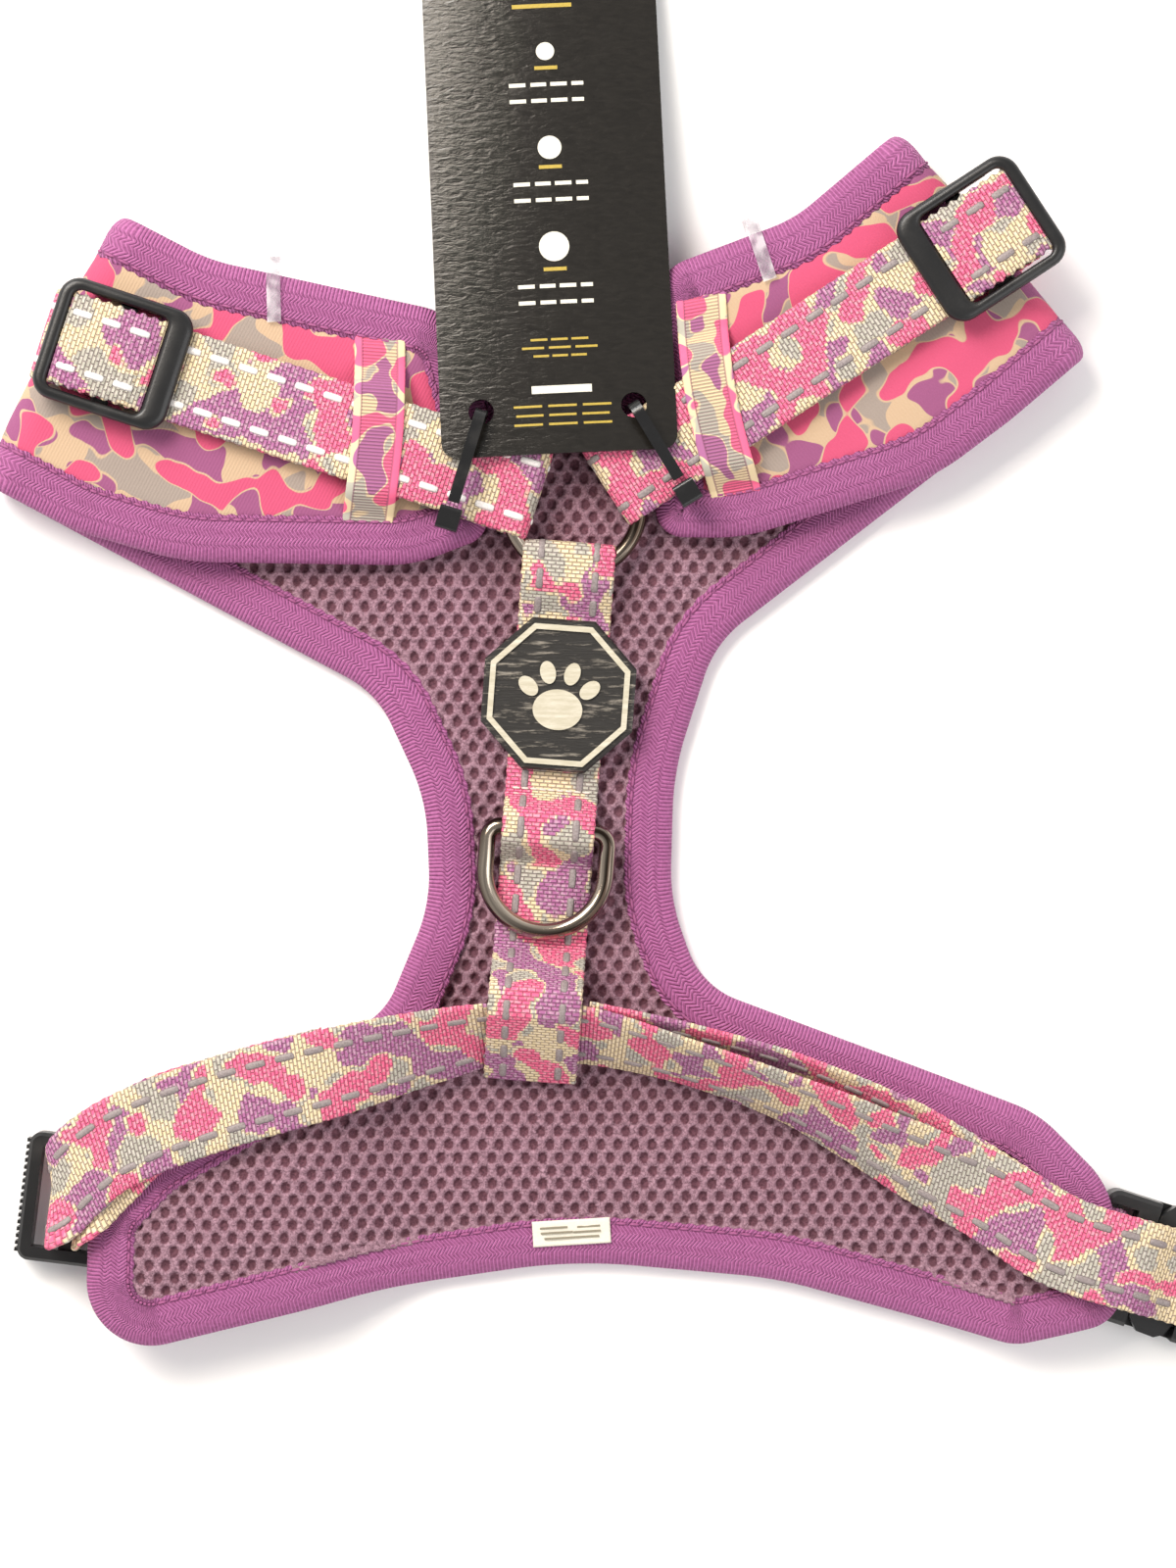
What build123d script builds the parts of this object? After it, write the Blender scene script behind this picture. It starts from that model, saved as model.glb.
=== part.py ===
from build123d import *
import math
import os

os.makedirs("parts", exist_ok=True)

# Driving dimensions, in millimetres and degrees.
# X runs across the harness, Y from the waist towards the neck, Z up.
# The origin is the middle of the waist, on the surface the harness lies on.
WEBBING = 20.0
THICK = 1.4
PANEL = 5.2
SHELL = 2.2
TAPE = 0.7
BINDING = 10.3
BINDING_GRIP = 4.0
FOLD_GAP = 3.6
FOLD_RADIUS = PANEL + FOLD_GAP / 2
WING_DROP = 1.8
CLEAR = 0.3

# Each shoulder fold: direction of its outward normal, how far out its edge
# lies, and where it starts and ends along its own line.
FOLDS = {
    "left": {"turn": 152.5, "reach": 148.9, "low": 16.4, "high": 82.0, "hand": -1},
    "right": {"turn": 40.5, "reach": 161.5, "low": 8.2, "high": 71.9, "hand": 1},
}

# Corner points and corner radii of the lower layer, between the two folds.
NECKLINE = [(-62.3, 124.8, 40), (4, 96, 45), (47.1, 134.8, 30)]
BODY_EDGE = [
    (36, 48, 25), (27, 20, 60), (26.2, -8, 40), (33, -27, 18), (106, -54.3, 25),
    (121.5, -70, 20), (125, -99, 9), (101, -105, 12), (50, -91, 90), (5, -87, 120),
    (-38, -93.2, 120), (-101, -108.5, 14), (-100, -75, 14), (-88, -62.5, 25),
    (-36, -32.5, 16), (-26.3, -9, 35), (-27.3, 14, 40), (-38, 37, 22),
]
# The same for the two wings that fold back over it, from top to bottom.
WING_EDGE = {
    "left": [
        (-74, 131, 40), (-20, 119.3, 13), (-13.4, 96, 30), (-13.8, 71, 6),
        (-30, 64.8, 30), (-80, 65.5, 60), (-103.2, 72.2, 40),
    ],
    "right": [
        (53, 140, 30), (23, 128.7, 10), (23, 71, 6), (42, 70.8, 40),
        (83, 83.5, 50), (99.9, 96.2, 40),
    ],
}
# Height of the lower layer's underside over the buckles, across the chest.
UNDERSIDE = [
    (-130, 9.8), (-52, 9.8), (-28, 0), (38, 0), (58, 1.6), (84, 1.6), (112, 8.8), (130, 8.8),
]
UNDERSIDE_RADIUS = 20.0

RING_CENTRE = (5.2, 77.4, 11.2)
RING_RADIUS = 14.3
RING_WIRE = 1.7
RING_TILT = 9.0
LOOP_SLACK = 3.2

SPINE_FOOT = (-0.93, 0.0)
SPINE_TURN = 85.7
LAYER_ONE = 6.1
LAYER_TWO = 7.6
D_BAR = (7.5, 10.4)
D_WIDTH = 26.2
D_LENGTH = 22.3
D_WIRE = 1.8

SLIDER_CENTRE = {"left": (-94.4, 110.0), "right": (93.1, 134.8)}
SLIDER_LENGTH = 30.0
SLIDER_WIDTH = 27.0
OUTER_BAR = 3.0
RING_BAR = 5.6
SHOULDER = -9.6
TAIL_HEIGHT = 1.9
TOP_HEIGHT = 3.4
KEEPER = {
    "left": ((-37.1, 113.4), (-39.9, 70.9)),
    "right": ((32.8, 122.6), (40.9, 76.9)),
}
KEEPER_WIDTH = 11.0

BADGE_CENTRE = 36.6
BADGE_SIZE = 33.0
BADGE_THICK = 2.6

BUCKLES = {
    "left": {"bar": (-61.3, -78.9), "turn": 173.0},
    "right": {"bar": (117.8, -83.9), "turn": -18.0},
}
BUCKLE_WIDTH = 28.0
BUCKLE_THICK = 8.0
BUCKLE_BASE = 0.2
FEMALE_LENGTH = 30.0
MALE_START = 30.3
BUCKLE_LENGTH = 54.0
BUCKLE_MID = BUCKLE_BASE + BUCKLE_THICK / 2

TAG_FOOT = (2.2, 88.4)
TAG_TURN = 2.7
TAG_WIDTH = 51.0
TAG_LENGTH = 126.0
TAG_THICK = 0.8
TAG_HEIGHT = 18.0
TAG_SLOPE = 7.1
TAG_HOLES = (-16.6, 16.4)
TAG_HOLE_UP = 9.9


def unit(degrees):
    return Vector(math.cos(math.radians(degrees)), math.sin(math.radians(degrees)), 0)


def rounded_loop(corners):
    """A closed flat face from (x, y, radius) corners."""
    points = [(x, y) for x, y, radius in corners]
    radii = [radius for x, y, radius in corners]
    line = FilletPolyline(*points, radius=radii, close=True)
    return Face(Wire(line.edges()))


def strip(points, radii, thickness):
    """A flat strip of constant thickness whose middle line has rounded corners."""
    spots = [Vector(x, y) for x, y in points]
    runs = [(b - a).normalized() for a, b in zip(spots, spots[1:])]
    sides = [Vector(-run.Y, run.X) for run in runs]
    edges = []
    ends = []
    for hand in (1, -1):
        line = [spots[0] + sides[0] * (hand * thickness / 2)]
        bends = []
        for i in range(1, len(spots) - 1):
            mitre = (sides[i - 1] + sides[i]) * (1 / (1 + sides[i - 1].dot(sides[i])))
            line.append(spots[i] + mitre * (hand * thickness / 2))
            left_turn = runs[i - 1].X * runs[i].Y - runs[i - 1].Y * runs[i].X > 0
            inward = hand if left_turn else -hand
            bends.append(max(radii[i - 1] - inward * thickness / 2, 0.05))
        line.append(spots[-1] + sides[-1] * (hand * thickness / 2))
        if bends:
            path = FilletPolyline(*line, radius=bends)
        else:
            path = Line(*line)
        edges += list(path.edges())
        ends.append((line[0], line[-1]))
    edges.append(Line(ends[0][0], ends[1][0]).edge())
    edges.append(Line(ends[0][1], ends[1][1]).edge())
    return Face(Wire(edges))


def ribbon(points, radii, thickness, width, plane):
    """A strap bent in one upright plane: the strip drawn out to both sides."""
    return plane.location * extrude(strip(points, radii, thickness), width / 2, both=True)


def upright(foot, turn, height=0.0):
    """An upright plane whose x runs along a direction and whose y is up."""
    along = unit(turn)
    return Plane(origin=(foot[0], foot[1], height), x_dir=along, z_dir=along.cross(Vector(0, 0, 1)))


def block(x0, x1, y0, y1, z0, z1):
    return Pos((x0 + x1) / 2, (y0 + y1) / 2, (z0 + z1) / 2) * Box(x1 - x0, y1 - y0, z1 - z0)


def fold_normal(side):
    return unit(FOLDS[side]["turn"])


def fold_line(side):
    """The direction along a fold, towards the neck."""
    return unit(FOLDS[side]["turn"] + 90 * FOLDS[side]["hand"])


def fold_point(side, along, beyond=0.0):
    reach = FOLDS[side]["reach"] - FOLD_RADIUS + beyond
    return fold_normal(side) * reach + fold_line(side) * along


def wing_plane(side):
    """The plane of a folded wing, at its fold: x points inwards, z is up."""
    out = fold_normal(side)
    drop = math.radians(WING_DROP)
    inward = out * -math.cos(drop) - Vector(0, 0, math.sin(drop))
    up = out * -math.sin(drop) + Vector(0, 0, math.cos(drop))
    return Plane(origin=fold_point(side, 0) + Vector(0, 0, FOLD_RADIUS), x_dir=inward, z_dir=up)


def in_wing(side, x, y):
    """A plan position in the wing plane's own x and y."""
    offset = Vector(x, y) - fold_point(side, 0)
    return -offset.dot(fold_normal(side)), -offset.dot(fold_line(side)) * FOLDS[side]["hand"]


def body_face(inset):
    """Plan of the lower layer, running on past both folds."""
    beyond = 25
    left, right = FOLDS["left"], FOLDS["right"]
    far = [fold_point("left", left["low"], beyond), fold_point("left", left["high"], beyond)]
    near = [fold_point("right", right["high"], beyond), fold_point("right", right["low"], beyond)]
    corners = [(p.X, p.Y, 1) for p in far] + NECKLINE + [(p.X, p.Y, 1) for p in near] + BODY_EDGE
    face = rounded_loop(corners)
    if inset:
        face = offset(face, -inset, kind=Kind.INTERSECTION)
    return face


def wing_face(side, inset):
    """Plan of a wing in its own plane, running on past its fold."""
    fold = FOLDS[side]
    beyond = 25
    top = fold_point(side, fold["high"], beyond)
    low = fold_point(side, fold["low"], beyond)
    corners = [(top.X, top.Y, 1)] + WING_EDGE[side] + [(low.X, low.Y, 1)]
    face = rounded_loop([(*in_wing(side, x, y), radius) for x, y, radius in corners])
    if inset:
        face = offset(face, -inset, kind=Kind.INTERSECTION)
    return face


def underside_band(low, high):
    """The layer between two heights over the raised underside, below the waist."""
    edges = []
    ends = []
    for height in (low, high):
        line = [(x, z + height) for x, z in UNDERSIDE]
        path = FilletPolyline(*line, radius=UNDERSIDE_RADIUS)
        edges += list(path.edges())
        ends.append((line[0], line[-1]))
    edges.append(Line(ends[0][0], ends[1][0]).edge())
    edges.append(Line(ends[0][1], ends[1][1]).edge())
    face = Face(Wire(edges))
    return Plane.XZ.location * extrude(face, 130)


def panel_layer(low, high, inset):
    """One layer of the whole chest panel: body, shoulder folds and wings."""
    tall = 60
    prism = extrude(body_face(inset), tall, dir=(0, 0, 1))
    for side in FOLDS:
        middle = fold_point(side, 0, 100)
        cutter = Pos(middle.X, middle.Y, 0) * Rot(0, 0, FOLDS[side]["turn"]) * Box(200, 400, 200)
        prism -= cutter
    layer = (prism & block(-200, 200, 0, 200, low, high)) + (prism & underside_band(low, high))
    for side, fold in FOLDS.items():
        along = fold_line(side)
        start = fold_point(side, fold["low"] + inset)
        end = fold_point(side, fold["high"] - inset)
        corners = [
            (start.X, start.Y, low), (end.X, end.Y, low),
            (end.X, end.Y, high), (start.X, start.Y, high),
        ]
        section = Face(Wire(Polyline(*corners, close=True).edges()))
        spin = Axis((start.X, start.Y, FOLD_RADIUS), along * -fold["hand"])
        layer += revolve(section, axis=spin, revolution_arc=180 + WING_DROP)
        flat = extrude(wing_face(side, inset), high - low, dir=(0, 0, 1))
        flat = Pos(0, 0, FOLD_RADIUS - high) * flat & block(0, 200, -200, 200, -50, 50)
        layer += wing_plane(side).location * flat
    return layer


def wing_height(side, x, y):
    """Height of the top of a wing over a plan position."""
    across, along = in_wing(side, x, y)
    return 2 * FOLD_RADIUS - across * math.tan(math.radians(WING_DROP))


def underside(x):
    """Height of the lower layer's underside at x, below the waist."""
    for (x0, z0), (x1, z1) in zip(UNDERSIDE, UNDERSIDE[1:]):
        if x0 <= x <= x1:
            return z0 + (z1 - z0) * (x - x0) / (x1 - x0)
    return 0.0


def strap_plane(side):
    """Upright plane along a neck strap: x from slider to ring, y off the wing."""
    wing = wing_plane(side)
    local = in_wing(side, *SLIDER_CENTRE[side])
    start = wing.from_local_coords(Vector(local[0], local[1], FOLD_RADIUS))
    goal = in_wing(side, RING_CENTRE[0], RING_CENTRE[1])
    ring = wing.from_local_coords(Vector(goal[0], goal[1], FOLD_RADIUS))
    along = (ring - start).normalized()
    return Plane(origin=start, x_dir=along, z_dir=along.cross(wing.z_dir))


def ring_plane():
    return Plane(origin=RING_CENTRE, x_dir=(1, 0, 0), z_dir=(
        0, -math.sin(math.radians(RING_TILT)), math.cos(math.radians(RING_TILT))))


def ring_spot(side):
    """Where the ring's wire crosses a neck strap, in that strap's plane."""
    plane = strap_plane(side)
    away = (plane.origin - ring_plane().origin)
    flat = Vector(away.X, away.Y).normalized()
    rise = flat.Y * math.tan(math.radians(RING_TILT))
    spot = ring_plane().origin + Vector(flat.X, flat.Y, rise) * RING_RADIUS
    local = plane.to_local_coords(spot)
    return local.X, local.Y


def make_neck_ring():
    return ring_plane().location * Torus(RING_RADIUS, RING_WIRE)


def ring_room():
    """The room that the straps leave round the ring's wire, so that it can turn."""
    return ring_plane().location * Torus(RING_RADIUS, RING_WIRE + CLEAR)


def fold_start(side):
    """Distance from the slider to the fold's own axis, along the strap."""
    plane = strap_plane(side)
    wing = wing_plane(side)
    here = wing.to_local_coords(plane.origin).X
    ahead = wing.to_local_coords(plane.origin + plane.x_dir).X
    return -here / (ahead - here)


def make_neck_strap(side):
    """Top run of a neck strap: down round the fold, over the wing and round the ring."""
    plane = strap_plane(side)
    wire_x, wire_y = ring_spot(side)
    wrap = RING_WIRE + CLEAR + THICK / 2
    sewn_x = fold_start(side) - FOLD_RADIUS - 1.5
    shoulder_x = min(sewn_x, SHOULDER)
    points = [(sewn_x, -8.5)]
    radii = []
    if shoulder_x < sewn_x:
        points += [(sewn_x, -6.5), (shoulder_x, -2.0)]
        radii += [2, 2]
    points += [
        (shoulder_x, TOP_HEIGHT), (wire_x - 6.5, TOP_HEIGHT), (wire_x - 1.6, wire_y + wrap),
        (wire_x + wrap + LOOP_SLACK, wire_y + wrap), (wire_x + wrap + LOOP_SLACK, wire_y - wrap),
        (wire_x - 1.5, wire_y - wrap), (wire_x - 4.8, TAIL_HEIGHT), (wire_x - 8.5, TAIL_HEIGHT),
    ]
    radii += [4, 3, 3, wrap - 0.01, wrap - 0.01, 1, 1]
    strap = ribbon(points, radii, THICK, WEBBING, plane)
    middle = fold_point(side, (FOLDS[side]["low"] + FOLDS[side]["high"]) / 2)
    axis = Plane(origin=middle + Vector(0, 0, FOLD_RADIUS), z_dir=fold_line(side))
    strap -= axis.location * Cylinder(FOLD_RADIUS + 0.05, 100)
    wing = extrude(wing_face(side, 0), PANEL + 0.1, dir=(0, 0, 1))
    strap -= wing_plane(side).location * Pos(0, 0, FOLD_RADIUS - PANEL - 0.05) * wing
    return strap - ring_room()


def make_neck_tail(side):
    """Under run of a neck strap, from beside the ring back to the slider's bar."""
    wire_x, wire_y = ring_spot(side)
    points = [(2.6, TAIL_HEIGHT), (wire_x - 8.6, TAIL_HEIGHT)]
    return ribbon(points, [], THICK, WEBBING, strap_plane(side))


def make_slider(side):
    """Tri-glide: two side rails, a low middle bar and two raised end bars."""
    half = SLIDER_LENGTH / 2
    rail = 2.5
    inner = SLIDER_WIDTH / 2 - rail
    deck = TOP_HEIGHT + THICK / 2 + CLEAR
    frame = Box(SLIDER_LENGTH, SLIDER_WIDTH, 2.0)
    frame = fillet(frame.edges().filter_by(Axis.Z), 4.5)
    frame = chamfer(frame.faces().sort_by(Axis.Z)[-1].edges(), 0.6)
    frame = Pos(0, 0, deck + 1.0) * frame
    frame -= block(-half + OUTER_BAR, half - RING_BAR, -inner, inner, 0, 20)
    for hand in (1, -1):
        y0, y1 = sorted((hand * inner, hand * (inner + rail)))
        frame += block(-9, 9, y0, y1, 0.3, deck)
    frame += block(-1.9, 1.9, -inner, inner, 0.3, TOP_HEIGHT - THICK / 2 - CLEAR)
    plane = strap_plane(side)
    seat = Plane(origin=plane.origin, x_dir=plane.x_dir, z_dir=plane.y_dir)
    return seat.location * frame


def make_keeper(side):
    """Elastic band over the neck strap, sewn down at both edges of the wing."""
    wing = wing_plane(side)
    top, low = [Vector(*in_wing(side, *spot), FOLD_RADIUS) for spot in KEEPER[side]]
    along = (low - top).normalized()
    plane = Plane(
        origin=wing.from_local_coords(top),
        x_dir=wing.from_local_coords(top + along) - wing.from_local_coords(top),
        z_dir=wing.from_local_coords(top + along.cross(Vector(0, 0, 1))) - wing.from_local_coords(top),
    )
    length = (low - top).length
    strap = strap_plane(side)
    start = plane.to_local_coords(strap.origin)
    ahead = plane.to_local_coords(strap.origin + strap.x_dir)
    slope = (ahead.X - start.X) / (ahead.Z - start.Z)
    middle = start.X - slope * start.Z
    reach = WEBBING / 2 + abs(slope) * KEEPER_WIDTH / 2 + 1.0
    high = TOP_HEIGHT + THICK / 2 + CLEAR / 2 + 0.4
    points = [
        (0, 0.55), (middle - reach - 4.5, 0.55), (middle - reach, high),
        (middle + reach, high), (middle + reach + 4.5, 0.55), (length, 0.55),
    ]
    return ribbon(points, [3, 3, 3, 3], 0.8, KEEPER_WIDTH, plane)


def spine_plane():
    return upright(SPINE_FOOT, SPINE_TURN)


def make_spine_strap():
    """Doubled strap down the back: ring at one end, girth strap at the other."""
    ring = spine_plane().to_local_coords(Vector(*RING_CENTRE))
    wire_x = ring.X - RING_RADIUS * math.cos(math.radians(RING_TILT))
    wire_y = RING_CENTRE[2] - RING_RADIUS * math.sin(math.radians(RING_TILT))
    wrap = RING_WIRE + CLEAR + THICK / 2
    fold_x = wire_x + wrap + LOOP_SLACK
    bar_x, bar_y = D_BAR
    hump = D_WIRE + CLEAR + THICK / 2
    points = [
        (20.0, LAYER_ONE), (wire_x, wire_y - wrap - 0.1), (fold_x, wire_y - wrap),
        (fold_x, wire_y + wrap), (wire_x - 2.0, wire_y + wrap), (wire_x - 8.5, LAYER_TWO),
        (bar_x + 7.0, LAYER_TWO), (bar_x + 2.7, bar_y + hump), (bar_x - 2.7, bar_y + hump),
        (bar_x - 7.0, LAYER_TWO), (-19.0, LAYER_TWO), (-27.2, 24.5), (-32.3, 24.5),
        (-47.0, 8.4), (-47.0, LAYER_ONE), (18.5, LAYER_ONE),
    ]
    radii = [3, wrap - 0.6, wrap - 0.6, 3, 3, 2.5, 2.5, 2.5, 2.5, 5, 1.8, 1.8, 1.2, 1.0]
    return ribbon(points, radii, THICK, WEBBING, spine_plane()) - ring_room()


def make_leash_ring():
    """D-ring: a straight bar under the strap's hump and a round bow."""
    half = D_WIDTH / 2
    straight = D_LENGTH - half
    bend = 3.0
    corner = bend * (1 - math.sqrt(0.5))
    path = [
        Line((-half + bend, 0), (half - bend, 0)),
        ThreePointArc((half - bend, 0), (half - corner, -corner), (half, -bend)),
        Line((half, -bend), (half, -straight)),
        ThreePointArc((half, -straight), (0, -straight - half), (-half, -straight)),
        Line((-half, -straight), (-half, -bend)),
        ThreePointArc((-half, -bend), (-half + corner, -corner), (-half + bend, 0)),
    ]
    wire = Wire([edge.edge() for edge in path])
    section = Plane(origin=wire @ 0, z_dir=wire % 0) * Circle(D_WIRE)
    ring = sweep(section, path=wire)
    seat = spine_plane()
    bar = seat.from_local_coords(Vector(D_BAR[0], D_BAR[1], 0))
    turn = SPINE_TURN - 90
    return Pos(bar.X, bar.Y, bar.Z) * Rot(0, 0, turn) * ring


def badge_seat():
    spot = spine_plane().from_local_coords(Vector(BADGE_CENTRE, LAYER_TWO + THICK / 2 + 0.1, 0))
    return Pos(spot.X, spot.Y, spot.Z) * Rot(0, 0, SPINE_TURN - 90)


def make_badge():
    plate = extrude(RegularPolygon(BADGE_SIZE / 2, 8, major_radius=False, rotation=22.5), BADGE_THICK)
    plate = chamfer(plate.faces().sort_by(Axis.Z)[-1].edges(), 0.5)
    return badge_seat() * plate


def make_badge_relief():
    """Raised rim and a plain paw print on the badge."""
    rim = RegularPolygon(BADGE_SIZE / 2 - 1.3, 8, major_radius=False, rotation=22.5)
    rim -= RegularPolygon(BADGE_SIZE / 2 - 2.5, 8, major_radius=False, rotation=22.5)
    mark = Pos(0, -3.2) * Ellipse(5.4, 4.4)
    for angle, reach in ((-48, 9.0), (-16, 9.6), (16, 9.6), (48, 9.0)):
        toe = Pos(0, -4.5) * Rot(0, 0, -angle) * Pos(0, reach) * Ellipse(1.7, 2.5)
        mark += toe
    shape = extrude(rim, 0.5) + extrude(mark, 0.5)
    return badge_seat() * Pos(0, 0, BADGE_THICK) * shape


def buckle_seat(side):
    """The buckle's own frame: x from the anchored bar to the toothed end."""
    buckle = BUCKLES[side]
    return Pos(buckle["bar"][0], buckle["bar"][1], 0) * Rot(0, 0, buckle["turn"])


def buckle_block(x0, x1, y0, y1, z0, z1):
    return block(x0, x1, y0, y1, BUCKLE_BASE + z0, BUCKLE_BASE + z1)


def make_female(side):
    half = BUCKLE_WIDTH / 2
    shell = buckle_block(0, FEMALE_LENGTH, -half, half, 0, BUCKLE_THICK)
    shell = fillet(shell.edges().filter_by(Axis.Z), 3.0)
    shell = chamfer(shell.edges().group_by(Axis.Z)[-1], 0.9)
    shell -= buckle_block(3.0, 7.4, -11, 11, -1, 9)
    shell -= buckle_block(9.4, 31, -11.4, 11.4, 1.4, 6.6)
    for hand in (1, -1):
        y0, y1 = sorted((hand * 8.0, hand * 15.0))
        shell -= buckle_block(12.0, 22.6, y0, y1, 1.0, 9)
    shell -= buckle_block(-1, 3.2, -11, 11, -1, 2.4)
    shell -= buckle_block(-1, 3.2, -11, 11, 5.6, 9)
    return buckle_seat(side) * shell


def make_male(side):
    half = BUCKLE_WIDTH / 2
    body = buckle_block(MALE_START, BUCKLE_LENGTH, -half, half, 1.0, 7.0)
    body = fillet(body.edges().filter_by(Axis.Z), 2.6)
    body = chamfer(body.edges().group_by(Axis.Z)[-1], 0.7)
    body -= buckle_block(36.0, 41.8, -11, 11, -1, 9)
    body -= buckle_block(45.2, 51.0, -11, 11, -1, 9)
    body -= buckle_block(41, 46, -11, 11, -1, 2.8)
    body -= buckle_block(41, 46, -11, 11, 5.2, 9)
    for step in range(-8, 9):
        body += buckle_block(53.6, 54.6, step * 1.5 - 0.4, step * 1.5 + 0.4, 2.0, 6.2)
    body += buckle_block(12.5, MALE_START + 0.5, -1.8, 1.8, 2.4, 5.6)
    for hand in (1, -1):
        y0, y1 = sorted((hand * 8.3, hand * 11.0))
        body -= buckle_block(29, 32.2, y0 - 0.3, y1 + 0.3, 1.7, 6.3)
    return buckle_seat(side) * body


def make_arm(side, hand):
    """One springy arm of the male half, with the button that fills its window."""
    points = [
        (31.9, 8.6), (31.9, 10.6), (22.0, 10.9), (21.0, 13.2), (19.0, 14.4), (15.0, 14.2),
        (12.6, 11.6), (12.4, 9.6), (14.5, 8.6),
    ]
    outline = Polyline(*[(x, hand * y) for x, y in points], close=True)
    arm = extrude(Face(Wire(outline.edges())), 4.2, dir=(0, 0, 1))
    arm = Pos(0, 0, BUCKLE_BASE + 1.9) * arm
    return buckle_seat(side) * arm


def make_anchor(side):
    """Webbing from under the panel through the female half's bar."""
    plane = upright(BUCKLES[side]["bar"], BUCKLES[side]["turn"])
    bar_x = 1.5
    bar_y = BUCKLE_MID
    loop = 2.8
    if side == "left":
        points = [
            (20.0, 9.05), (bar_x - loop - 0.6, 9.05), (bar_x - loop - 0.6, bar_y - loop),
            (bar_x + loop + 0.6, bar_y - loop), (bar_x + loop + 0.6, 7.8),
        ]
        radii = [1.8, 1.8, 1.4]
    else:
        points = [
            (-54.0, 0.8), (bar_x + loop + 0.6, 0.8), (bar_x + loop + 0.6, bar_y + loop),
            (bar_x - loop, bar_y + loop), (-12.0, 2.4), (-24.0, 2.4),
        ]
        radii = [1.4, 1.8, 2.4, 3.0]
    return ribbon(points, radii, THICK, WEBBING, plane)


# Stations of the girth strap: x, y, edge tilt in degrees and extra height.
GIRTH = [
    (-95.5, -61.5, 0, 0.0), (-86.5, -57.0, 2, 0.0), (-69.2, -51.0, 4, 0.0),
    (-47.7, -45.2, 12, 0.2), (-26.2, -39.8, 34, 0.8), (-13.3, -37.0, 46, 0.3),
    (-3.5, -36.6, 48, 0.1), (8.2, -37.2, 50, 0.3), (29.7, -42.8, 58, 0.4),
    (51.2, -50.5, 55, 0.2), (61.5, -55.3, 47, 0.2), (72.7, -61.1, 38, 0.2),
    (83.4, -66.7, 26, 0.2), (95.0, -72.3, 8, 1.2),
]
LEFT_TAIL = slice(3, 0, -1)
RIGHT_TAIL = slice(-2, 7, -1)
STRAP_LIFT = 1.0
TAIL_SPACE = 1.6
LADDER_BAR = 43.5


def girth_station(x, y, tilt, extra, drop):
    """Centre, and the direction up the strap's width, at one place."""
    width = Vector(0, math.cos(math.radians(tilt)), math.sin(math.radians(tilt)))
    rise = WEBBING / 2 * math.sin(math.radians(tilt))
    thickness = (TAIL_SPACE + THICK / 2) * math.cos(math.radians(tilt))
    height = underside(x) + PANEL + STRAP_LIFT + extra + rise + thickness
    normal = Vector(0, -math.sin(math.radians(tilt)), math.cos(math.radians(tilt)))
    return Vector(x, y, height) - normal * drop, width


def ladder_wrap(side, outer, inner):
    """Stations down to the ladder bar, round it and back up, in the buckle's plane."""
    plane = upright(BUCKLES[side]["bar"], BUCKLES[side]["turn"])
    across = Vector(-plane.x_dir.Y, plane.x_dir.X, 0)
    if across.Y < 0:
        across = across * -1
    wrap = []
    for angle in (10, -25, -60, -90, -120, -155, 170):
        turn = math.radians(angle)
        wrap.append((LADDER_BAR + 3.1 * math.cos(turn), BUCKLE_MID + 2.9 * math.sin(turn)))
    return [(plane.from_local_coords(Vector(x, z, 0)), across) for x, z in outer + wrap + inner]


def girth_left_end():
    """Over the panel's left end, round the ladder bar and back under itself."""
    across = Vector(-0.1, 0.995, 0)
    over = [(Vector(-102.5, -67.2, 17.6), across)]
    wrap = ladder_wrap("left", [(46.2, 15.0), (47.0, 10.0)], [(40.6, 8.5), (40.9, 12.6)])
    back = [(Vector(-100.2, -70.0, 15.9), across), (Vector(-94.5, -64.0, 16.3), across)]
    return over + wrap + back


def girth_right_end():
    """Over the panel's right end and the buckle, round the ladder bar and back."""
    outer = [(-8.0, 17.2), (10.3, 16.9), (16.2, 13.2), (20.0, 11.4), (40.0, 11.2),
             (46.2, 10.2), (47.0, 7.4)]
    inner = [(40.0, 7.0), (37.0, 9.5), (18.5, 9.7), (14.8, 11.4), (10.0, 15.2), (-8.0, 15.5)]
    return ladder_wrap("right", outer, inner)


def strap_through(stations):
    """A ruled strap through (centre, width direction) stations."""
    sections = []
    for i, (centre, across) in enumerate(stations):
        ahead = stations[min(i + 1, len(stations) - 1)][0]
        behind = stations[max(i - 1, 0)][0]
        along = ahead - behind
        square = (along - across * along.dot(across)).normalized()
        plane = Plane(origin=centre, x_dir=across, z_dir=square)
        sections.append(plane * Rectangle(WEBBING, THICK))
    return loft(sections, ruled=True)


def make_girth_strap():
    """The adjustable strap behind the front legs, with both returning tails."""
    middle = [girth_station(*station, 0.0) for station in GIRTH]
    left_tail = [girth_station(*station, TAIL_SPACE) for station in GIRTH[LEFT_TAIL]]
    right_tail = [girth_station(*station, TAIL_SPACE) for station in GIRTH[RIGHT_TAIL]]
    stations = left_tail + girth_left_end()[::-1] + middle + girth_right_end() + right_tail
    return strap_through(stations)


def tag_seat():
    return (
        Pos(TAG_FOOT[0], TAG_FOOT[1], TAG_HEIGHT) * Rot(0, 0, TAG_TURN) * Rot(-TAG_SLOPE, 0, 0)
    )


def make_hang_tag():
    card = Pos(0, TAG_LENGTH / 2) * RectangleRounded(TAG_WIDTH, TAG_LENGTH, 3.5)
    for x in TAG_HOLES:
        card -= Pos(x, TAG_HOLE_UP) * Circle(2.75)
    return tag_seat() * extrude(card, TAG_THICK)


TIES = {"left": ((-14.8, 97.4), (-21.9, 74.0)), "right": ((18.0, 99.0), (29.8, 79.6))}
TIE_THICK = 1.0
TIE_WIDTH = 2.5


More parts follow.
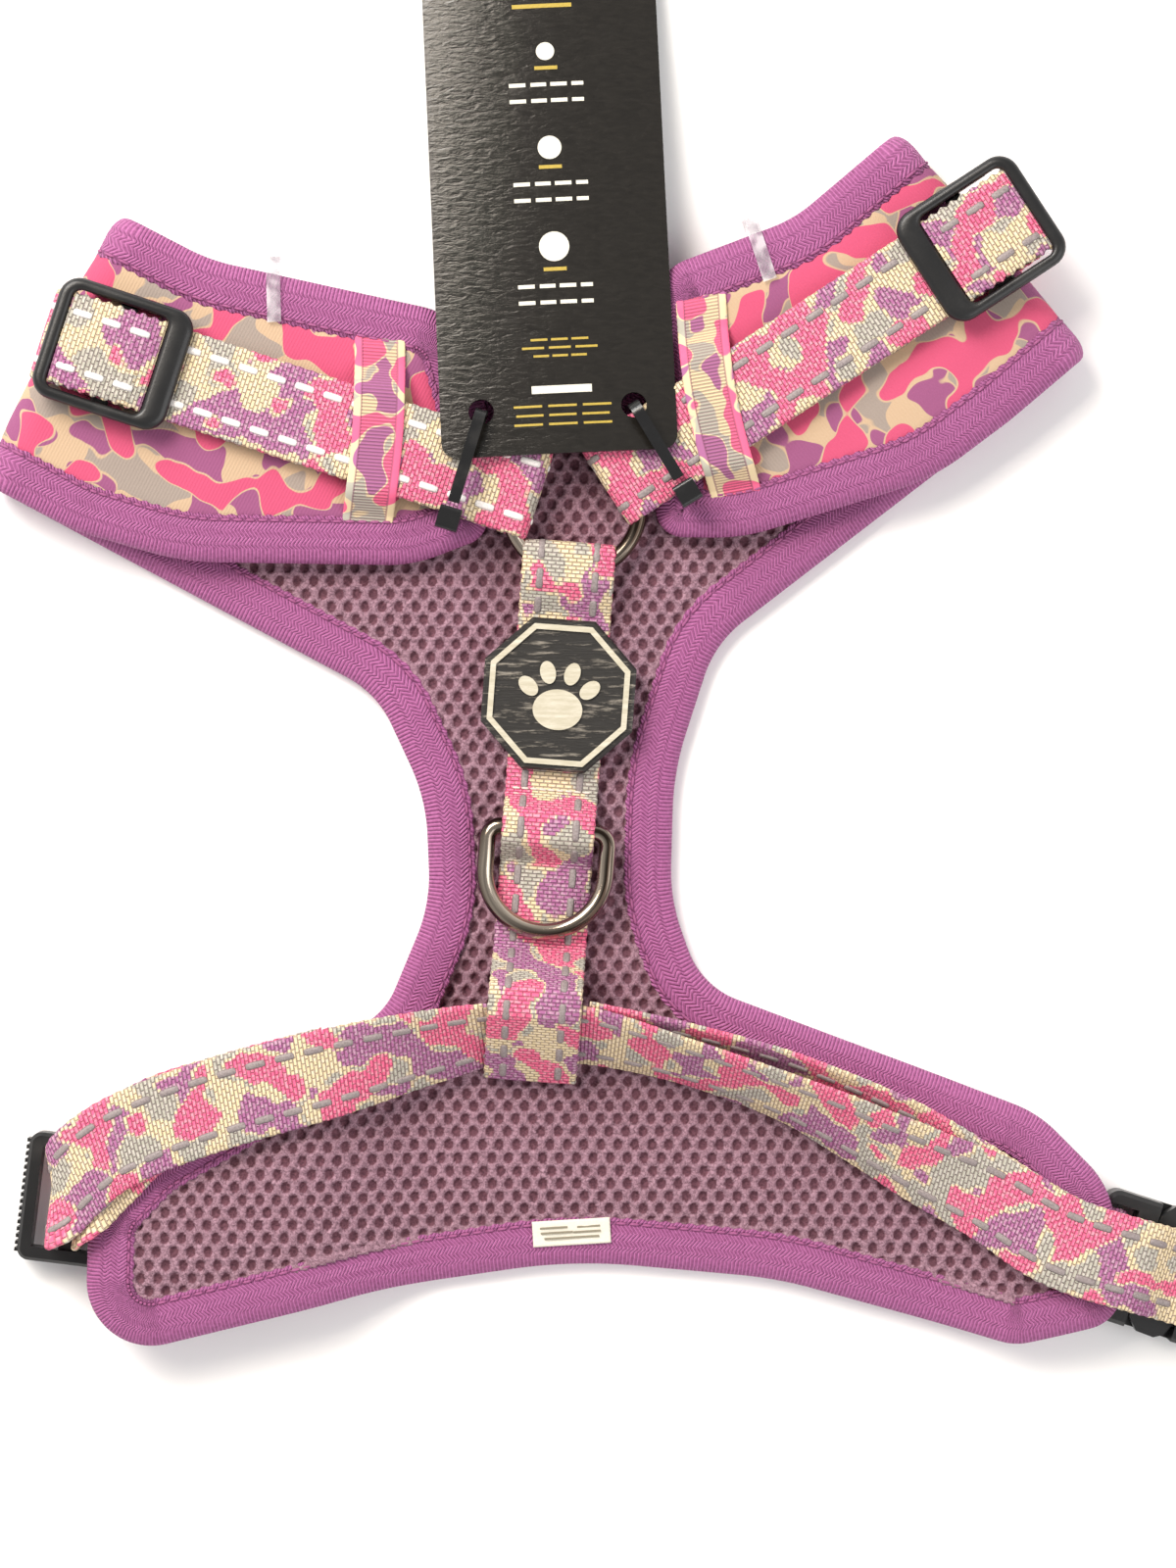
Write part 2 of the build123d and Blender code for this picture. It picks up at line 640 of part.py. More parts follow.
def make_tie(side):
    """A cable tie through the tag's hole and round the neck strap, with its head."""
    hole, head = [Vector(*spot) for spot in TIES[side]]
    along = head - hole
    turn = math.degrees(math.atan2(along.Y, along.X))
    plane = upright((hole.X, hole.Y), turn)
    length = along.length
    under = [wing_height(side, *spot) + 0.6 for spot in TIES[side]]
    points = [
        (length - 4.0, 19.8), (0, 21.2), (0, under[0]), (length, under[1]), (length, 16.4),
    ]
    band = ribbon(points, [2.4, 1.0, 1.4], TIE_THICK, TIE_WIDTH, plane)
    head_box = Pos(length - 0.4, 18.5) * RectangleRounded(5.0, 5.6, 0.8)
    return band + plane.location * extrude(head_box, 2.4, both=True)


LOOPS = {"left": ((-60.0, 128.2), (-59.6, 112.0)), "right": ((44.2, 136.8), (49.6, 120.4))}


def make_clear_loop(side):
    """Clear film loop round the top edge of a wing."""
    edge, low = [Vector(*spot) for spot in LOOPS[side]]
    along = low - edge
    turn = math.degrees(math.atan2(along.Y, along.X))
    plane = upright((edge.X, edge.Y), turn)
    top = wing_height(side, edge.X, edge.Y) + 0.5
    under = top - PANEL - 1.4
    points = [(11.0, top + 0.15), (-3.6, top), (-3.6, under), (11.0, under)]
    return ribbon(points, [1.6, 1.6], 0.5, 3.0, plane)


def make_care_label():
    label = extrude(RectangleRounded(17.0, 5.6, 0.4), 0.4)
    return Pos(4.6, -80.6, PANEL + 0.2) * Rot(0, 0, 3.5) * label


def make_panel():
    """Shell, mesh lining and the tape that binds their edges together."""
    shell = panel_layer(0, SHELL, BINDING) + panel_layer(TAPE, SHELL, BINDING_GRIP)
    mesh = panel_layer(SHELL, PANEL, BINDING) + panel_layer(SHELL, PANEL - TAPE, BINDING_GRIP)
    tape = panel_layer(0, PANEL, 0) - shell - mesh
    return {"chest_shell": shell, "chest_mesh": mesh, "edge_binding": tape}


def make_parts():
    parts = make_panel()
    parts["neck_ring"] = make_neck_ring()
    parts["leash_ring"] = make_leash_ring()
    parts["spine_strap"] = make_spine_strap()
    parts["girth_strap"] = make_girth_strap()
    parts["badge_base"] = make_badge()
    parts["badge_relief"] = make_badge_relief()
    parts["hang_tag"] = make_hang_tag()
    parts["care_label"] = make_care_label()
    for side in FOLDS:
        parts[f"neck_strap_{side}"] = make_neck_strap(side)
        parts[f"neck_strap_tail_{side}"] = make_neck_tail(side)
        parts[f"slider_{side}"] = make_slider(side)
        parts[f"keeper_{side}"] = make_keeper(side)
        parts[f"buckle_female_{side}"] = make_female(side)
        parts[f"buckle_male_{side}"] = make_male(side)
        parts[f"buckle_arm_upper_{side}"] = make_arm(side, 1)
        parts[f"buckle_arm_lower_{side}"] = make_arm(side, -1)
        parts[f"anchor_{side}"] = make_anchor(side)
        parts[f"tag_tie_{side}"] = make_tie(side)
        parts[f"clear_loop_{side}"] = make_clear_loop(side)
    return parts


for name, shape in make_parts().items():
    export_step(shape, f"parts/{name}.step")
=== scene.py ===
import math

import bmesh
import bpy
import numpy as np
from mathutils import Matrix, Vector


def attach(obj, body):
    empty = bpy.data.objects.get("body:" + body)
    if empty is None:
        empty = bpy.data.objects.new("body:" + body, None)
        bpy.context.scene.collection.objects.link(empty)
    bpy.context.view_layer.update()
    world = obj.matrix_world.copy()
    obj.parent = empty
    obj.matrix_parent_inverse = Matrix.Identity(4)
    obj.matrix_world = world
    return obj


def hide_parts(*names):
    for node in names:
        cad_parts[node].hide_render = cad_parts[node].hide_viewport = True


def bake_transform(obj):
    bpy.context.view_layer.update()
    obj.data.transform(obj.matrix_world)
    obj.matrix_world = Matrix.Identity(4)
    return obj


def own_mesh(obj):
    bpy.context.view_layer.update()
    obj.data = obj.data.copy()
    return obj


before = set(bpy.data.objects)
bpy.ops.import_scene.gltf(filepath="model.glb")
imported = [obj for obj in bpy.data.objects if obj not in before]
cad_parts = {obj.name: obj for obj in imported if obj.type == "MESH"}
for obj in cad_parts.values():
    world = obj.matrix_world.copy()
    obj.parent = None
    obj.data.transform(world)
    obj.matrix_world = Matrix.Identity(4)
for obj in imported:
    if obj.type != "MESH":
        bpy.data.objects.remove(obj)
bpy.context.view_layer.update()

MM = 0.001

# ---------------------------------------------------------------- camera, light
FRAME_WIDTH = 258.0645 * MM
VIEW_CENTRE = (8.2 * MM, 17.2 * MM)
CAMERA_HEIGHT = 1.0
SENSOR = 36.0
FLOOR_REACH = 12.0
FLOOR_GAP = 0.3 * MM
DOME_RAMP = (("From Min", 0.2), ("From Max", 0.95), ("To Min", 0.95), ("To Max", 0.36))
LIGHTS = [
    ("key", (-0.55, 0.75, 0.75), (0.5, 0.5), 9.0, (1, 1, 1)),
    ("fill", (0.75, -0.3, 0.9), (0.9, 0.9), 5.5, (1, 1, 1)),
    ("window", (-0.62, 0.74, 1.2), (0.9, 0.5), 16.0, (1.0, 0.9, 0.78)),
]


def make_camera():
    """Straight down on the harness, which lies flat."""
    data = bpy.data.cameras.new("camera")
    data.sensor_fit = "HORIZONTAL"
    data.sensor_width = SENSOR
    data.lens = SENSOR * CAMERA_HEIGHT / FRAME_WIDTH
    camera = bpy.data.objects.new("camera", data)
    camera.location = (*VIEW_CENTRE, CAMERA_HEIGHT)
    bpy.context.scene.collection.objects.link(camera)
    bpy.context.scene.camera = camera


def make_light(name, location, size, power, tint):
    data = bpy.data.lights.new(name, "AREA")
    data.shape = "RECTANGLE"
    data.size, data.size_y = size
    data.energy = power
    data.color = tint
    light = bpy.data.objects.new(name, data)
    light.location = location
    aim = Vector(location) - Vector((*VIEW_CENTRE, 0))
    light.rotation_euler = aim.to_track_quat("Z", "Y").to_euler()
    bpy.context.scene.collection.objects.link(light)


def make_studio():
    """White floor, a soft dome that is dimmer overhead, and three soft lights."""
    world = bpy.data.worlds.new("studio")
    world.use_nodes = True
    tree = world.node_tree
    background = tree.nodes["Background"]
    background.inputs["Color"].default_value = (1.0, 0.985, 0.97, 1)
    place = tree.nodes.new("ShaderNodeTexCoord")
    split = tree.nodes.new("ShaderNodeSeparateXYZ")
    dome = tree.nodes.new("ShaderNodeMapRange")
    tree.links.new(place.outputs["Generated"], split.inputs[0])
    tree.links.new(split.outputs["Z"], dome.inputs["Value"])
    for key, value in DOME_RAMP:
        dome.inputs[key].default_value = value
    tree.links.new(dome.outputs[0], background.inputs["Strength"])
    bpy.context.scene.world = world
    bpy.context.scene.view_settings.view_transform = "Standard"
    for light in LIGHTS:
        make_light(*light)
    mesh = bpy.data.meshes.new("floor")
    corners = [(x * FLOOR_REACH, y * FLOOR_REACH, 0) for x, y in ((-1, -1), (1, -1), (1, 1), (-1, 1))]
    mesh.from_pydata(corners, [], [(0, 1, 2, 3)])
    floor = bpy.data.objects.new("floor", mesh)
    bpy.context.scene.collection.objects.link(floor)
    floor.location.z = -FLOOR_GAP
    mesh.materials.append(plain_material("floor", (252, 252, 252), 0.9))


# ---------------------------------------------------------------- materials
def linear(rgb):
    values = [c / 255 for c in rgb]
    return tuple(c / 12.92 if c <= 0.04045 else ((c + 0.055) / 1.055) ** 2.4 for c in values) + (1,)


class Nodes:
    """Short calls for building one material's node tree."""

    def __init__(self, name):
        self.material = bpy.data.materials.new(name)
        self.material.use_nodes = True
        self.tree = self.material.node_tree
        self.shader = self.tree.nodes["Principled BSDF"]

    def node(self, kind, **settings):
        node = self.tree.nodes.new(kind)
        for key, value in settings.items():
            setattr(node, key, value)
        return node

    def link(self, source, target):
        self.tree.links.new(source, target)

    def put(self, socket, value):
        if hasattr(value, "is_output"):
            self.link(value, socket)
        else:
            socket.default_value = value

    def pattern(self):
        """Metres along and across the cloth, as each piece carries them."""
        return self.node("ShaderNodeAttribute", attribute_name="pattern").outputs["Vector"]

    def place(self):
        return self.node("ShaderNodeTexCoord").outputs["Object"]

    def value(self, name):
        return self.node("ShaderNodeAttribute", attribute_name=name).outputs["Fac"]

    def math(self, operation, *values):
        node = self.node("ShaderNodeMath", operation=operation)
        for socket, value in zip(node.inputs, values):
            self.put(socket, value)
        return node.outputs[0]

    def times(self, first, second):
        return self.math("MULTIPLY", first, second)

    def split(self, vector):
        node = self.node("ShaderNodeSeparateXYZ")
        self.link(vector, node.inputs[0])
        return node.outputs

    def join(self, x, y):
        node = self.node("ShaderNodeCombineXYZ")
        self.link(x, node.inputs[0])
        self.link(y, node.inputs[1])
        return node.outputs[0]

    def shift(self, vector, offset, stretch=(1, 1, 1)):
        node = self.node("ShaderNodeMapping")
        self.link(vector, node.inputs["Vector"])
        node.inputs["Location"].default_value = offset
        node.inputs["Scale"].default_value = stretch
        return node.outputs[0]

    def noise(self, vector, scale, detail=2.0, rough=0.5, distortion=0.0):
        node = self.node("ShaderNodeTexNoise")
        self.link(vector, node.inputs["Vector"])
        node.inputs["Scale"].default_value = scale
        node.inputs["Detail"].default_value = detail
        node.inputs["Roughness"].default_value = rough
        node.inputs["Distortion"].default_value = distortion
        return node.outputs["Fac"]

    def step(self, value, low, high):
        """0 below low, 1 above high."""
        node = self.node("ShaderNodeMapRange", clamp=True)
        self.link(value, node.inputs["Value"])
        node.inputs["From Min"].default_value = low
        node.inputs["From Max"].default_value = high
        return node.outputs[0]

    def mix(self, factor, first, second, blend="MIX"):
        node = self.node("ShaderNodeMix", data_type="RGBA", blend_type=blend)
        self.put(node.inputs["Factor"], factor)
        self.put(node.inputs[6], first)
        self.put(node.inputs[7], second)
        return node.outputs[2]

    def bump(self, height, distance, strength=1.0, under=None):
        node = self.node("ShaderNodeBump")
        self.link(height, node.inputs["Height"])
        node.inputs["Distance"].default_value = distance
        node.inputs["Strength"].default_value = strength
        if under is not None:
            self.link(under, node.inputs["Normal"])
        return node.outputs[0]

    def finish(self, color, rough, normal=None, **uniform):
        self.put(self.shader.inputs["Base Color"], color)
        self.put(self.shader.inputs["Roughness"], rough)
        if normal is not None:
            self.link(normal, self.shader.inputs["Normal"])
        for key, value in uniform.items():
            self.shader.inputs[key.replace("_", " ")].default_value = value
        return self.material


# Shared colours, and the real pitch of each weave in metres.
CREAM = linear((230, 209, 168))
PINK = linear((238, 104, 142))
PURPLE = linear((172, 106, 150))
GREY = linear((180, 176, 162))
# painted shade for the bottoms of the air mesh holes
HOLE_SHADE = linear((88, 54, 66))
TAPE_LIGHT = linear((192, 114, 168))
TAPE_DARK = linear((126, 60, 104))
PICK_PITCH = 0.00085
PICK_LENGTH = 0.0018
RIB_PITCH = 0.00075
TWILL_PITCH = 0.00082
ELASTIC_BORDER = 0.0038
STITCH_LINE = 0.0092


def plain_material(name, rgb, rough):
    return Nodes(name).finish(linear(rgb), rough)


def camouflage(n, place, scale):
    """Cream ground with grey, purple and pink blots, each with a cream rim."""
    color = CREAM
    blots = [
        (GREY, (0.31, 0.12, 0.7), 0.50, 0.515), (PURPLE, (1.37, 0.83, 0.2), 0.53, 0.548),
        (PINK, (0.05, 2.41, 0.4), 0.525, 0.543),
    ]
    for tone, offset, rim, core in blots:
        cloud = n.noise(n.shift(place, offset), scale, 0.6, 0.3, 0.1)
        color = n.mix(n.step(cloud, rim - 0.006, rim + 0.004), color, CREAM)
        color = n.mix(n.step(cloud, core - 0.004, core + 0.004), color, tone)
    return color


def printed_fabric():
    n = Nodes("printed_fabric_cloth")
    place = n.pattern()
    color = camouflage(n, place, 118)
    weave = n.noise(place, 2600, 1.0, 0.5)
    color = n.mix(n.times(weave, 0.16), color, linear((255, 255, 255)), "OVERLAY")
    color = n.mix(1.0, color, linear((212, 198, 201)), "MULTIPLY")
    rib = n.math("SINE", n.times(n.split(place)[0], 9000.0))
    normal = n.bump(weave, 0.00008, 0.6, n.bump(rib, 0.00004, 0.5))
    return n.finish(color, 0.82, normal, Specular_IOR_Level=0.2)


def webbing():
    """Plain weave: raised picks like bricks, with the print broken up row by row and painted shade in
    the gaps between picks.
    """
    n = Nodes("printed_webbing_weave")
    place = n.pattern()
    along, across = n.split(place)[:2]
    row = n.math("SNAP", along, PICK_PITCH)
    ragged = n.times(n.math("SINE", n.times(row, 9000.0)), 0.0003)
    color = camouflage(n, n.join(row, n.math("ADD", across, ragged)), 100)
    brick = n.node("ShaderNodeTexBrick", offset=0.5)
    n.link(n.join(across, along), brick.inputs["Vector"])
    for key, value in (
        ("Scale", 1.0), ("Brick Width", PICK_LENGTH), ("Row Height", PICK_PITCH),
        ("Mortar Size", 0.0002), ("Mortar Smooth", 1.0),
    ):
        brick.inputs[key].default_value = value
    gap = brick.outputs["Fac"]
    pale = n.noise(place, 1100, 1.0, 0.5)
    faded = n.times(n.step(pale, 0.46, 0.62), 0.24)
    color = n.mix(faded, color, linear((250, 238, 232)))
    # painted shade in the gaps between the picks
    color = n.mix(n.times(gap, 0.46), color, linear((112, 66, 80)))
    rise = n.math("SUBTRACT", 1.0, gap)
    normal = n.bump(pale, 0.0001, 0.5, n.bump(rise, 0.0003, 1.0))
    return n.finish(color, 0.72, normal, Specular_IOR_Level=0.25)


def elastic():
    """Ribbed band with a smooth border along each edge, and painted shade in the rib valleys."""
    n = Nodes("printed_elastic_ribs")
    place = n.pattern()
    color = camouflage(n, place, 120)
    along, across = n.split(place)[:2]
    rib = n.math("SINE", n.times(along, 2 * math.pi / RIB_PITCH))
    high = n.math("MULTIPLY_ADD", rib, 0.5, 0.5)
    out = n.math("ABSOLUTE", across)
    middle = n.math("SUBTRACT", 1.0, n.step(out, 0.0036, ELASTIC_BORDER))
    seam = n.math("LESS_THAN", n.math("ABSOLUTE", n.math("SUBTRACT", out, ELASTIC_BORDER)), 0.0002)
    # painted shade in the valleys between the ribs
    rib_valley_shade = n.times(n.math("SUBTRACT", 1.0, high), middle)
    color = n.mix(n.times(rib_valley_shade, 0.55), color, linear((120, 76, 88)))
    color = n.mix(n.times(seam, 0.6), color, linear((130, 78, 100)))
    height = n.math("MAXIMUM", high, n.math("SUBTRACT", 1.0, middle))
    return n.finish(color, 0.75, n.bump(height, 0.0002, 1.0), Specular_IOR_Level=0.25)


def binding():
    """Ribs square to the edge on the outer roll, herringbone twill further in."""
    n = Nodes("binding_tape_twill")
    place = n.pattern()
    along, across = n.split(place)[:2]
    zigzag = n.math("PINGPONG", n.math("ADD", across, 0.1), 0.0017)
    inner = n.step(across, 0.0030, 0.0042)
    wave = n.math("ADD", along, n.times(n.times(zigzag, 0.75), inner))
    twill = n.math("SINE", n.times(wave, 2 * math.pi / TWILL_PITCH))
    high = n.math("MULTIPLY_ADD", twill, 0.5, 0.5)
    speck = n.noise(place, 1500, 2.0, 0.6)
    # random speckle tone plus painted light and shade on the twill: ridges coloured lighter, grooves
    # darker
    tone = n.math("MULTIPLY_ADD", speck, 0.8, n.times(high, 0.4))
    color = n.mix(n.step(tone, 0.2, 0.95), TAPE_DARK, TAPE_LIGHT)
    seam = n.math("LESS_THAN", n.math("ABSOLUTE", n.math("SUBTRACT", across, STITCH_LINE)), 0.00045)
    color = n.mix(n.times(seam, 0.45), color, linear((92, 40, 74)))
    normal = n.bump(speck, 0.00016, 0.6, n.bump(high, 0.0003, 1.0))
    return n.finish(color, 0.6, normal, Specular_IOR_Level=0.3)


def air_mesh():
    n = Nodes("air_mesh_knit")
    place = n.pattern()
    hole = n.value("hole")
    yarn = n.noise(place, 1500, 3.0, 0.65, 0.8)
    color = n.mix(n.step(yarn, 0.3, 0.7), linear((102, 71, 83)), linear((184, 145, 160)))
    # painted shade: the mesh holes are coloured dark as if in shadow
    hole_shade = n.mix(n.step(yarn, 0.35, 0.65), HOLE_SHADE, linear((122, 80, 92)))
    color = n.mix(n.step(hole, 0.3, 0.75), color, hole_shade)
    normal = n.bump(yarn, 0.0005, 0.9)
    return n.finish(color, 0.8, normal, Specular_IOR_Level=0.3)


def nickel():
    """Polished nickel with painted reflection: dark and bright bands along the wire stand in for the
    room mirrored in it.
    """
    n = Nodes("nickel_painted_reflection")
    place = n.pattern()
    streak = n.noise(n.shift(place, (0, 0, 0), (26, 520, 1)), 1.0, 2.0, 0.5)
    # painted reflection: dark bands for the dim room and bright bands for the lamps, coloured into the
    # wire
    color = n.mix(n.step(streak, 0.42, 0.66), linear((66, 54, 46)), linear((204, 190, 174)))
    rough = n.math("MULTIPLY_ADD", streak, 0.12, 0.1)
    return n.finish(color, rough, n.bump(streak, 0.00005, 0.1), Metallic=1.0)


def black_plastic(name="black_plastic_moulded", rough=0.36):
    n = Nodes(name)
    place = n.place()
    grain = n.noise(place, 2200, 3.0, 0.6)
    wear = n.noise(place, 90, 4.0, 0.6)
    color = n.mix(n.step(wear, 0.55, 0.8), linear((22, 22, 23)), linear((44, 43, 42)))
    rough_map = n.math("MULTIPLY_ADD", wear, 0.25, rough - 0.12)
    return n.finish(color, rough_map, n.bump(grain, 0.00005, 0.5))


def badge_rubber():
    n = Nodes("badge_rubber_matt")
    place = n.place()
    streak = n.noise(n.shift(place, (0, 0, 0), (0.35, 2.6, 1)), 420, 4.0, 0.7)
    color = n.mix(n.step(streak, 0.55, 0.72), linear((30, 27, 24)), linear((150, 142, 130)))
    return n.finish(color, n.math("MULTIPLY_ADD", streak, -0.3, 0.6), n.bump(streak, 0.0003, 0.5))


def badge_print():
    n = Nodes("badge_print_cream")
    place = n.place()
    streak = n.noise(n.shift(place, (0, 0, 0), (0.4, 2.2, 1)), 500, 4.0, 0.7)
    color = n.mix(n.step(streak, 0.4, 0.75), linear((186, 178, 156)), linear((214, 207, 190)))
    return n.finish(color, 0.5, n.bump(streak, 0.0001, 0.3))


def tag_card():
    n = Nodes("tag_card_coated")
    place = n.place()
    crease = n.noise(n.shift(place, (0, 0, 0), (0.55, 1.5, 1)), 620, 3.0, 0.6, 0.6)
    color = n.mix(crease, linear((22, 20, 18)), linear((38, 35, 31)))
    return n.finish(color, n.math("MULTIPLY_ADD", crease, 0.16, 0.08), n.bump(crease, 0.0002, 0.4))


def fine_cloth(name, low, high, rough=0.5):
    """Thread, satin or ink: two close tones in a fine grain."""
    n = Nodes(name)
    thread = n.noise(n.place(), 2400, 2.0, 0.6)
    return n.finish(n.mix(thread, linear(low), linear(high)), rough, n.bump(thread, 0.0001, 0.6))


def clear_film():
    n = Nodes("clear_film_loop")
    place = n.place()
    wave = n.noise(place, 300, 1.0, 0.5)
    tint = n.mix(n.step(wave, 0.4, 0.6), linear((170, 162, 170)), linear((255, 255, 255)))
    return n.finish(tint, 0.06, n.bump(wave, 0.0002, 0.5), Alpha=0.32, IOR=1.6)


MATERIALS = {}


def make_materials():
    MATERIALS.update(
        cloth=printed_fabric(), webbing=webbing(), elastic=elastic(), tape=binding(),
        mesh=air_mesh(), nickel=nickel(), plastic=black_plastic(), rubber=badge_rubber(),
        cream=badge_print(), card=tag_card(), film=clear_film(),
        tie=black_plastic("tie_plastic_gloss", 0.24),
        thread=fine_cloth("binding_thread", (126, 60, 104), (176, 98, 146), 0.7),
        pale_thread=fine_cloth("pale_thread", (205, 190, 180), (235, 226, 214), 0.7),
        # lighter copy of the reflective thread: painted glint of the thread catching the light
        dash_light=fine_cloth("reflective_thread_painted_glint", (206, 198, 196), (250, 246, 242)),
        dash=fine_cloth("reflective_thread", (92, 80, 82), (176, 164, 162)),
        label=fine_cloth("label_satin", (218, 210, 192), (240, 235, 222)),
        ink=fine_cloth("tag_print_white", (205, 200, 184), (236, 232, 218)),
        gold=fine_cloth("tag_print_gold", (150, 128, 44), (196, 168, 60)),
        ink_grey=fine_cloth("label_print", (120, 112, 96), (150, 142, 120), 0.6),
    )


# ---------------------------------------------------------------- mesh helpers
def new_piece(name, points, faces, material, body, replaces=(), pattern=None, smooth=True):
    """A mesh piece in metres, riding on a body and taking a slot's finish."""
    mesh = bpy.data.meshes.new(name)
    mesh.from_pydata([tuple(p) for p in points], [], faces)
    if pattern is not None:
        set_attribute(mesh, "pattern", "FLOAT_VECTOR", pattern)
    if smooth:
        mesh.polygons.foreach_set("use_smooth", [True] * len(mesh.polygons))
    mesh.materials.append(MATERIALS[material])
    piece = bpy.data.objects.new(name, mesh)
    bpy.context.scene.collection.objects.link(piece)
    if replaces:
        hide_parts(*replaces)
    if body is not None:
        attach(piece, body)
    return piece


def unit(degrees):
    return np.array((math.cos(math.radians(degrees)), math.sin(math.radians(degrees)), 0.0))


def normalized(vectors):
    return vectors / np.linalg.norm(vectors, axis=-1, keepdims=True)


def smooth(t):
    """Soft step from 0 to 1."""
    t = np.clip(t, 0, 1)
    return t * t * (3 - 2 * t)


def tangents(path):
    return normalized(np.gradient(path, axis=0))


def inward_of(path):
    """Directions square to the right of a 2-D path."""
    tangent = tangents(path)
    return tangent[:, 1], -tangent[:, 0]


def travelled(spots):
    """Distance run along a path, from its first spot to each spot."""
    return np.concatenate(([0], np.cumsum(np.linalg.norm(np.diff(spots, axis=0), axis=1))))


def skin(rings, sides, first=0, closed=False):
    """Faces over rings of points, with end caps unless the rings close on themselves."""
    faces = []
    for i in range(rings if closed else rings - 1):
        a, b = first + i * sides, first + (i + 1) % rings * sides
        faces += [(a + j, a + (j + 1) % sides, b + (j + 1) % sides, b + j) for j in range(sides)]
    if not closed:
        faces.append(tuple(first + j for j in range(sides))[::-1])
        faces.append(tuple(first + (rings - 1) * sides + j for j in range(sides)))
    return faces


def set_attribute(mesh, name, kind, values):
    attribute = mesh.attributes.new(name, kind, "POINT")
    key = "vector" if kind == "FLOAT_VECTOR" else "value"
    attribute.data.foreach_set(key, np.asarray(values, dtype=np.float32).ravel())


def rounded(points, radii, step):
    """Evenly spaced points along straight runs joined by arcs, in 2-D."""
    points = [np.asarray(p, float) for p in points]
    line = [points[0]]

    def run_to(goal):
        start = line[-1]
        length = np.linalg.norm(goal - start)
        count = max(int(round(length / step)), 1)
        for k in range(1, count + 1):
            line.append(start + (goal - start) * k / count)

    for before, corner, after, radius in zip(points, points[1:], points[2:], radii):
        into = (corner - before) / np.linalg.norm(corner - before)
        out = (after - corner) / np.linalg.norm(after - corner)
        turn = math.atan2(into[0] * out[1] - into[1] * out[0], into.dot(out))
        trim = radius * math.tan(abs(turn) / 2)
        run_to(corner - into * trim)
        side = np.array((-into[1], into[0])) * math.copysign(1, turn)
        centre = line[-1] + side * radius
        arm = line[-1] - centre
        count = max(int(math.ceil(abs(turn) * radius / step)), 2)
        for k in range(1, count + 1):
            angle = turn * k / count
            c, s = math.cos(angle), math.sin(angle)
            line.append(centre + np.array((arm[0] * c - arm[1] * s, arm[0] * s + arm[1] * c)))
    run_to(points[-1])
    return np.array(line)


def distance_inside(spots, outline):
    """Signed distance from 2-D spots to a closed outline, positive inside."""
    a = outline
    b = np.roll(outline, -1, axis=0)
    run = b - a
    length2 = (run ** 2).sum(1)
    result = np.empty(len(spots))
    for start in range(0, len(spots), 4000):
        p = spots[start:start + 4000]
        gap = p[:, None, :] - a[None]
        t = np.clip((gap * run).sum(2) / length2, 0, 1)
        near = gap - run * t[..., None]
        distance = np.sqrt((near ** 2).sum(2).min(1))
        above = (a[None, :, 1] > p[:, None, 1]) != (b[None, :, 1] > p[:, None, 1])
        with np.errstate(divide="ignore", invalid="ignore"):
            cross = a[None, :, 0] + (p[:, None, 1] - a[None, :, 1]) * run[None, :, 0] / run[None, :, 1]
        inside = (above & (p[:, None, 0] < cross)).sum(1) % 2 == 1
        result[start:start + 4000] = np.where(inside, distance, -distance)
    return result


def closed_grid(keep, top, bottom):
    """Faces of a closed pad over the kept cells of a grid, and its packed points."""
    rows, columns = keep.shape
    cells = keep[:-1, :-1] & keep[1:, :-1] & keep[:-1, 1:] & keep[1:, 1:]
    used = np.zeros_like(keep)
    for i, j in ((0, 0), (1, 0), (0, 1), (1, 1)):
        used[i:rows - 1 + i, j:columns - 1 + j] |= cells
    index = -np.ones(keep.shape, int)
    index[used] = np.arange(used.sum())
    count = int(used.sum())
    i, j = np.nonzero(cells)
    quad = np.stack((index[i, j], index[i + 1, j], index[i + 1, j + 1], index[i, j + 1]), 1)
    faces = [quad, quad[:, ::-1] + count]
    padded = np.pad(cells, 1)
    sides = (
        ((-1, 0), (0, 0), (0, 1)), ((1, 0), (1, 1), (1, 0)),
        ((0, -1), (1, 0), (0, 0)), ((0, 1), (0, 1), (1, 1)),
    )
    for (di, dj), (ai, aj), (bi, bj) in sides:
        open_side = cells & ~padded[1 + di:rows + di, 1 + dj:columns + dj]
        i, j = np.nonzero(open_side)
        first = index[i + ai, j + aj]
        second = index[i + bi, j + bj]
        faces.append(np.stack((first, second, second + count, first + count), 1))
    points = np.concatenate((top[used], bottom[used]))
    return points, np.concatenate(faces), used


def sweep(profile, spots, across, normal, closed=False, ripple=None, edit=None):
    """A closed profile (a, b) drawn along a path; returns points, faces and pattern."""
    profile = np.asarray(profile, float)
    steps = len(spots)
    sides = len(profile)
    travel = travelled(spots)
    a = np.repeat(profile[None, :, 0], steps, 0)
    if ripple:
        height, pitch = ripple
        a = a * (1 + height * np.cos(2 * math.pi * travel / pitch))[:, None]
    b = np.repeat(profile[None, :, 1], steps, 0)
    if edit:
        a, b = edit(a, b, travel[:, None])
    points = spots[:, None] + across[:, None] * a[..., None] + normal[:, None] * b[..., None]
    pattern = np.stack((np.repeat(travel[:, None], sides, 1), a, b * 0), 2)
    return points.reshape(-1, 3), skin(steps, sides, closed=closed), pattern.reshape(-1, 3)


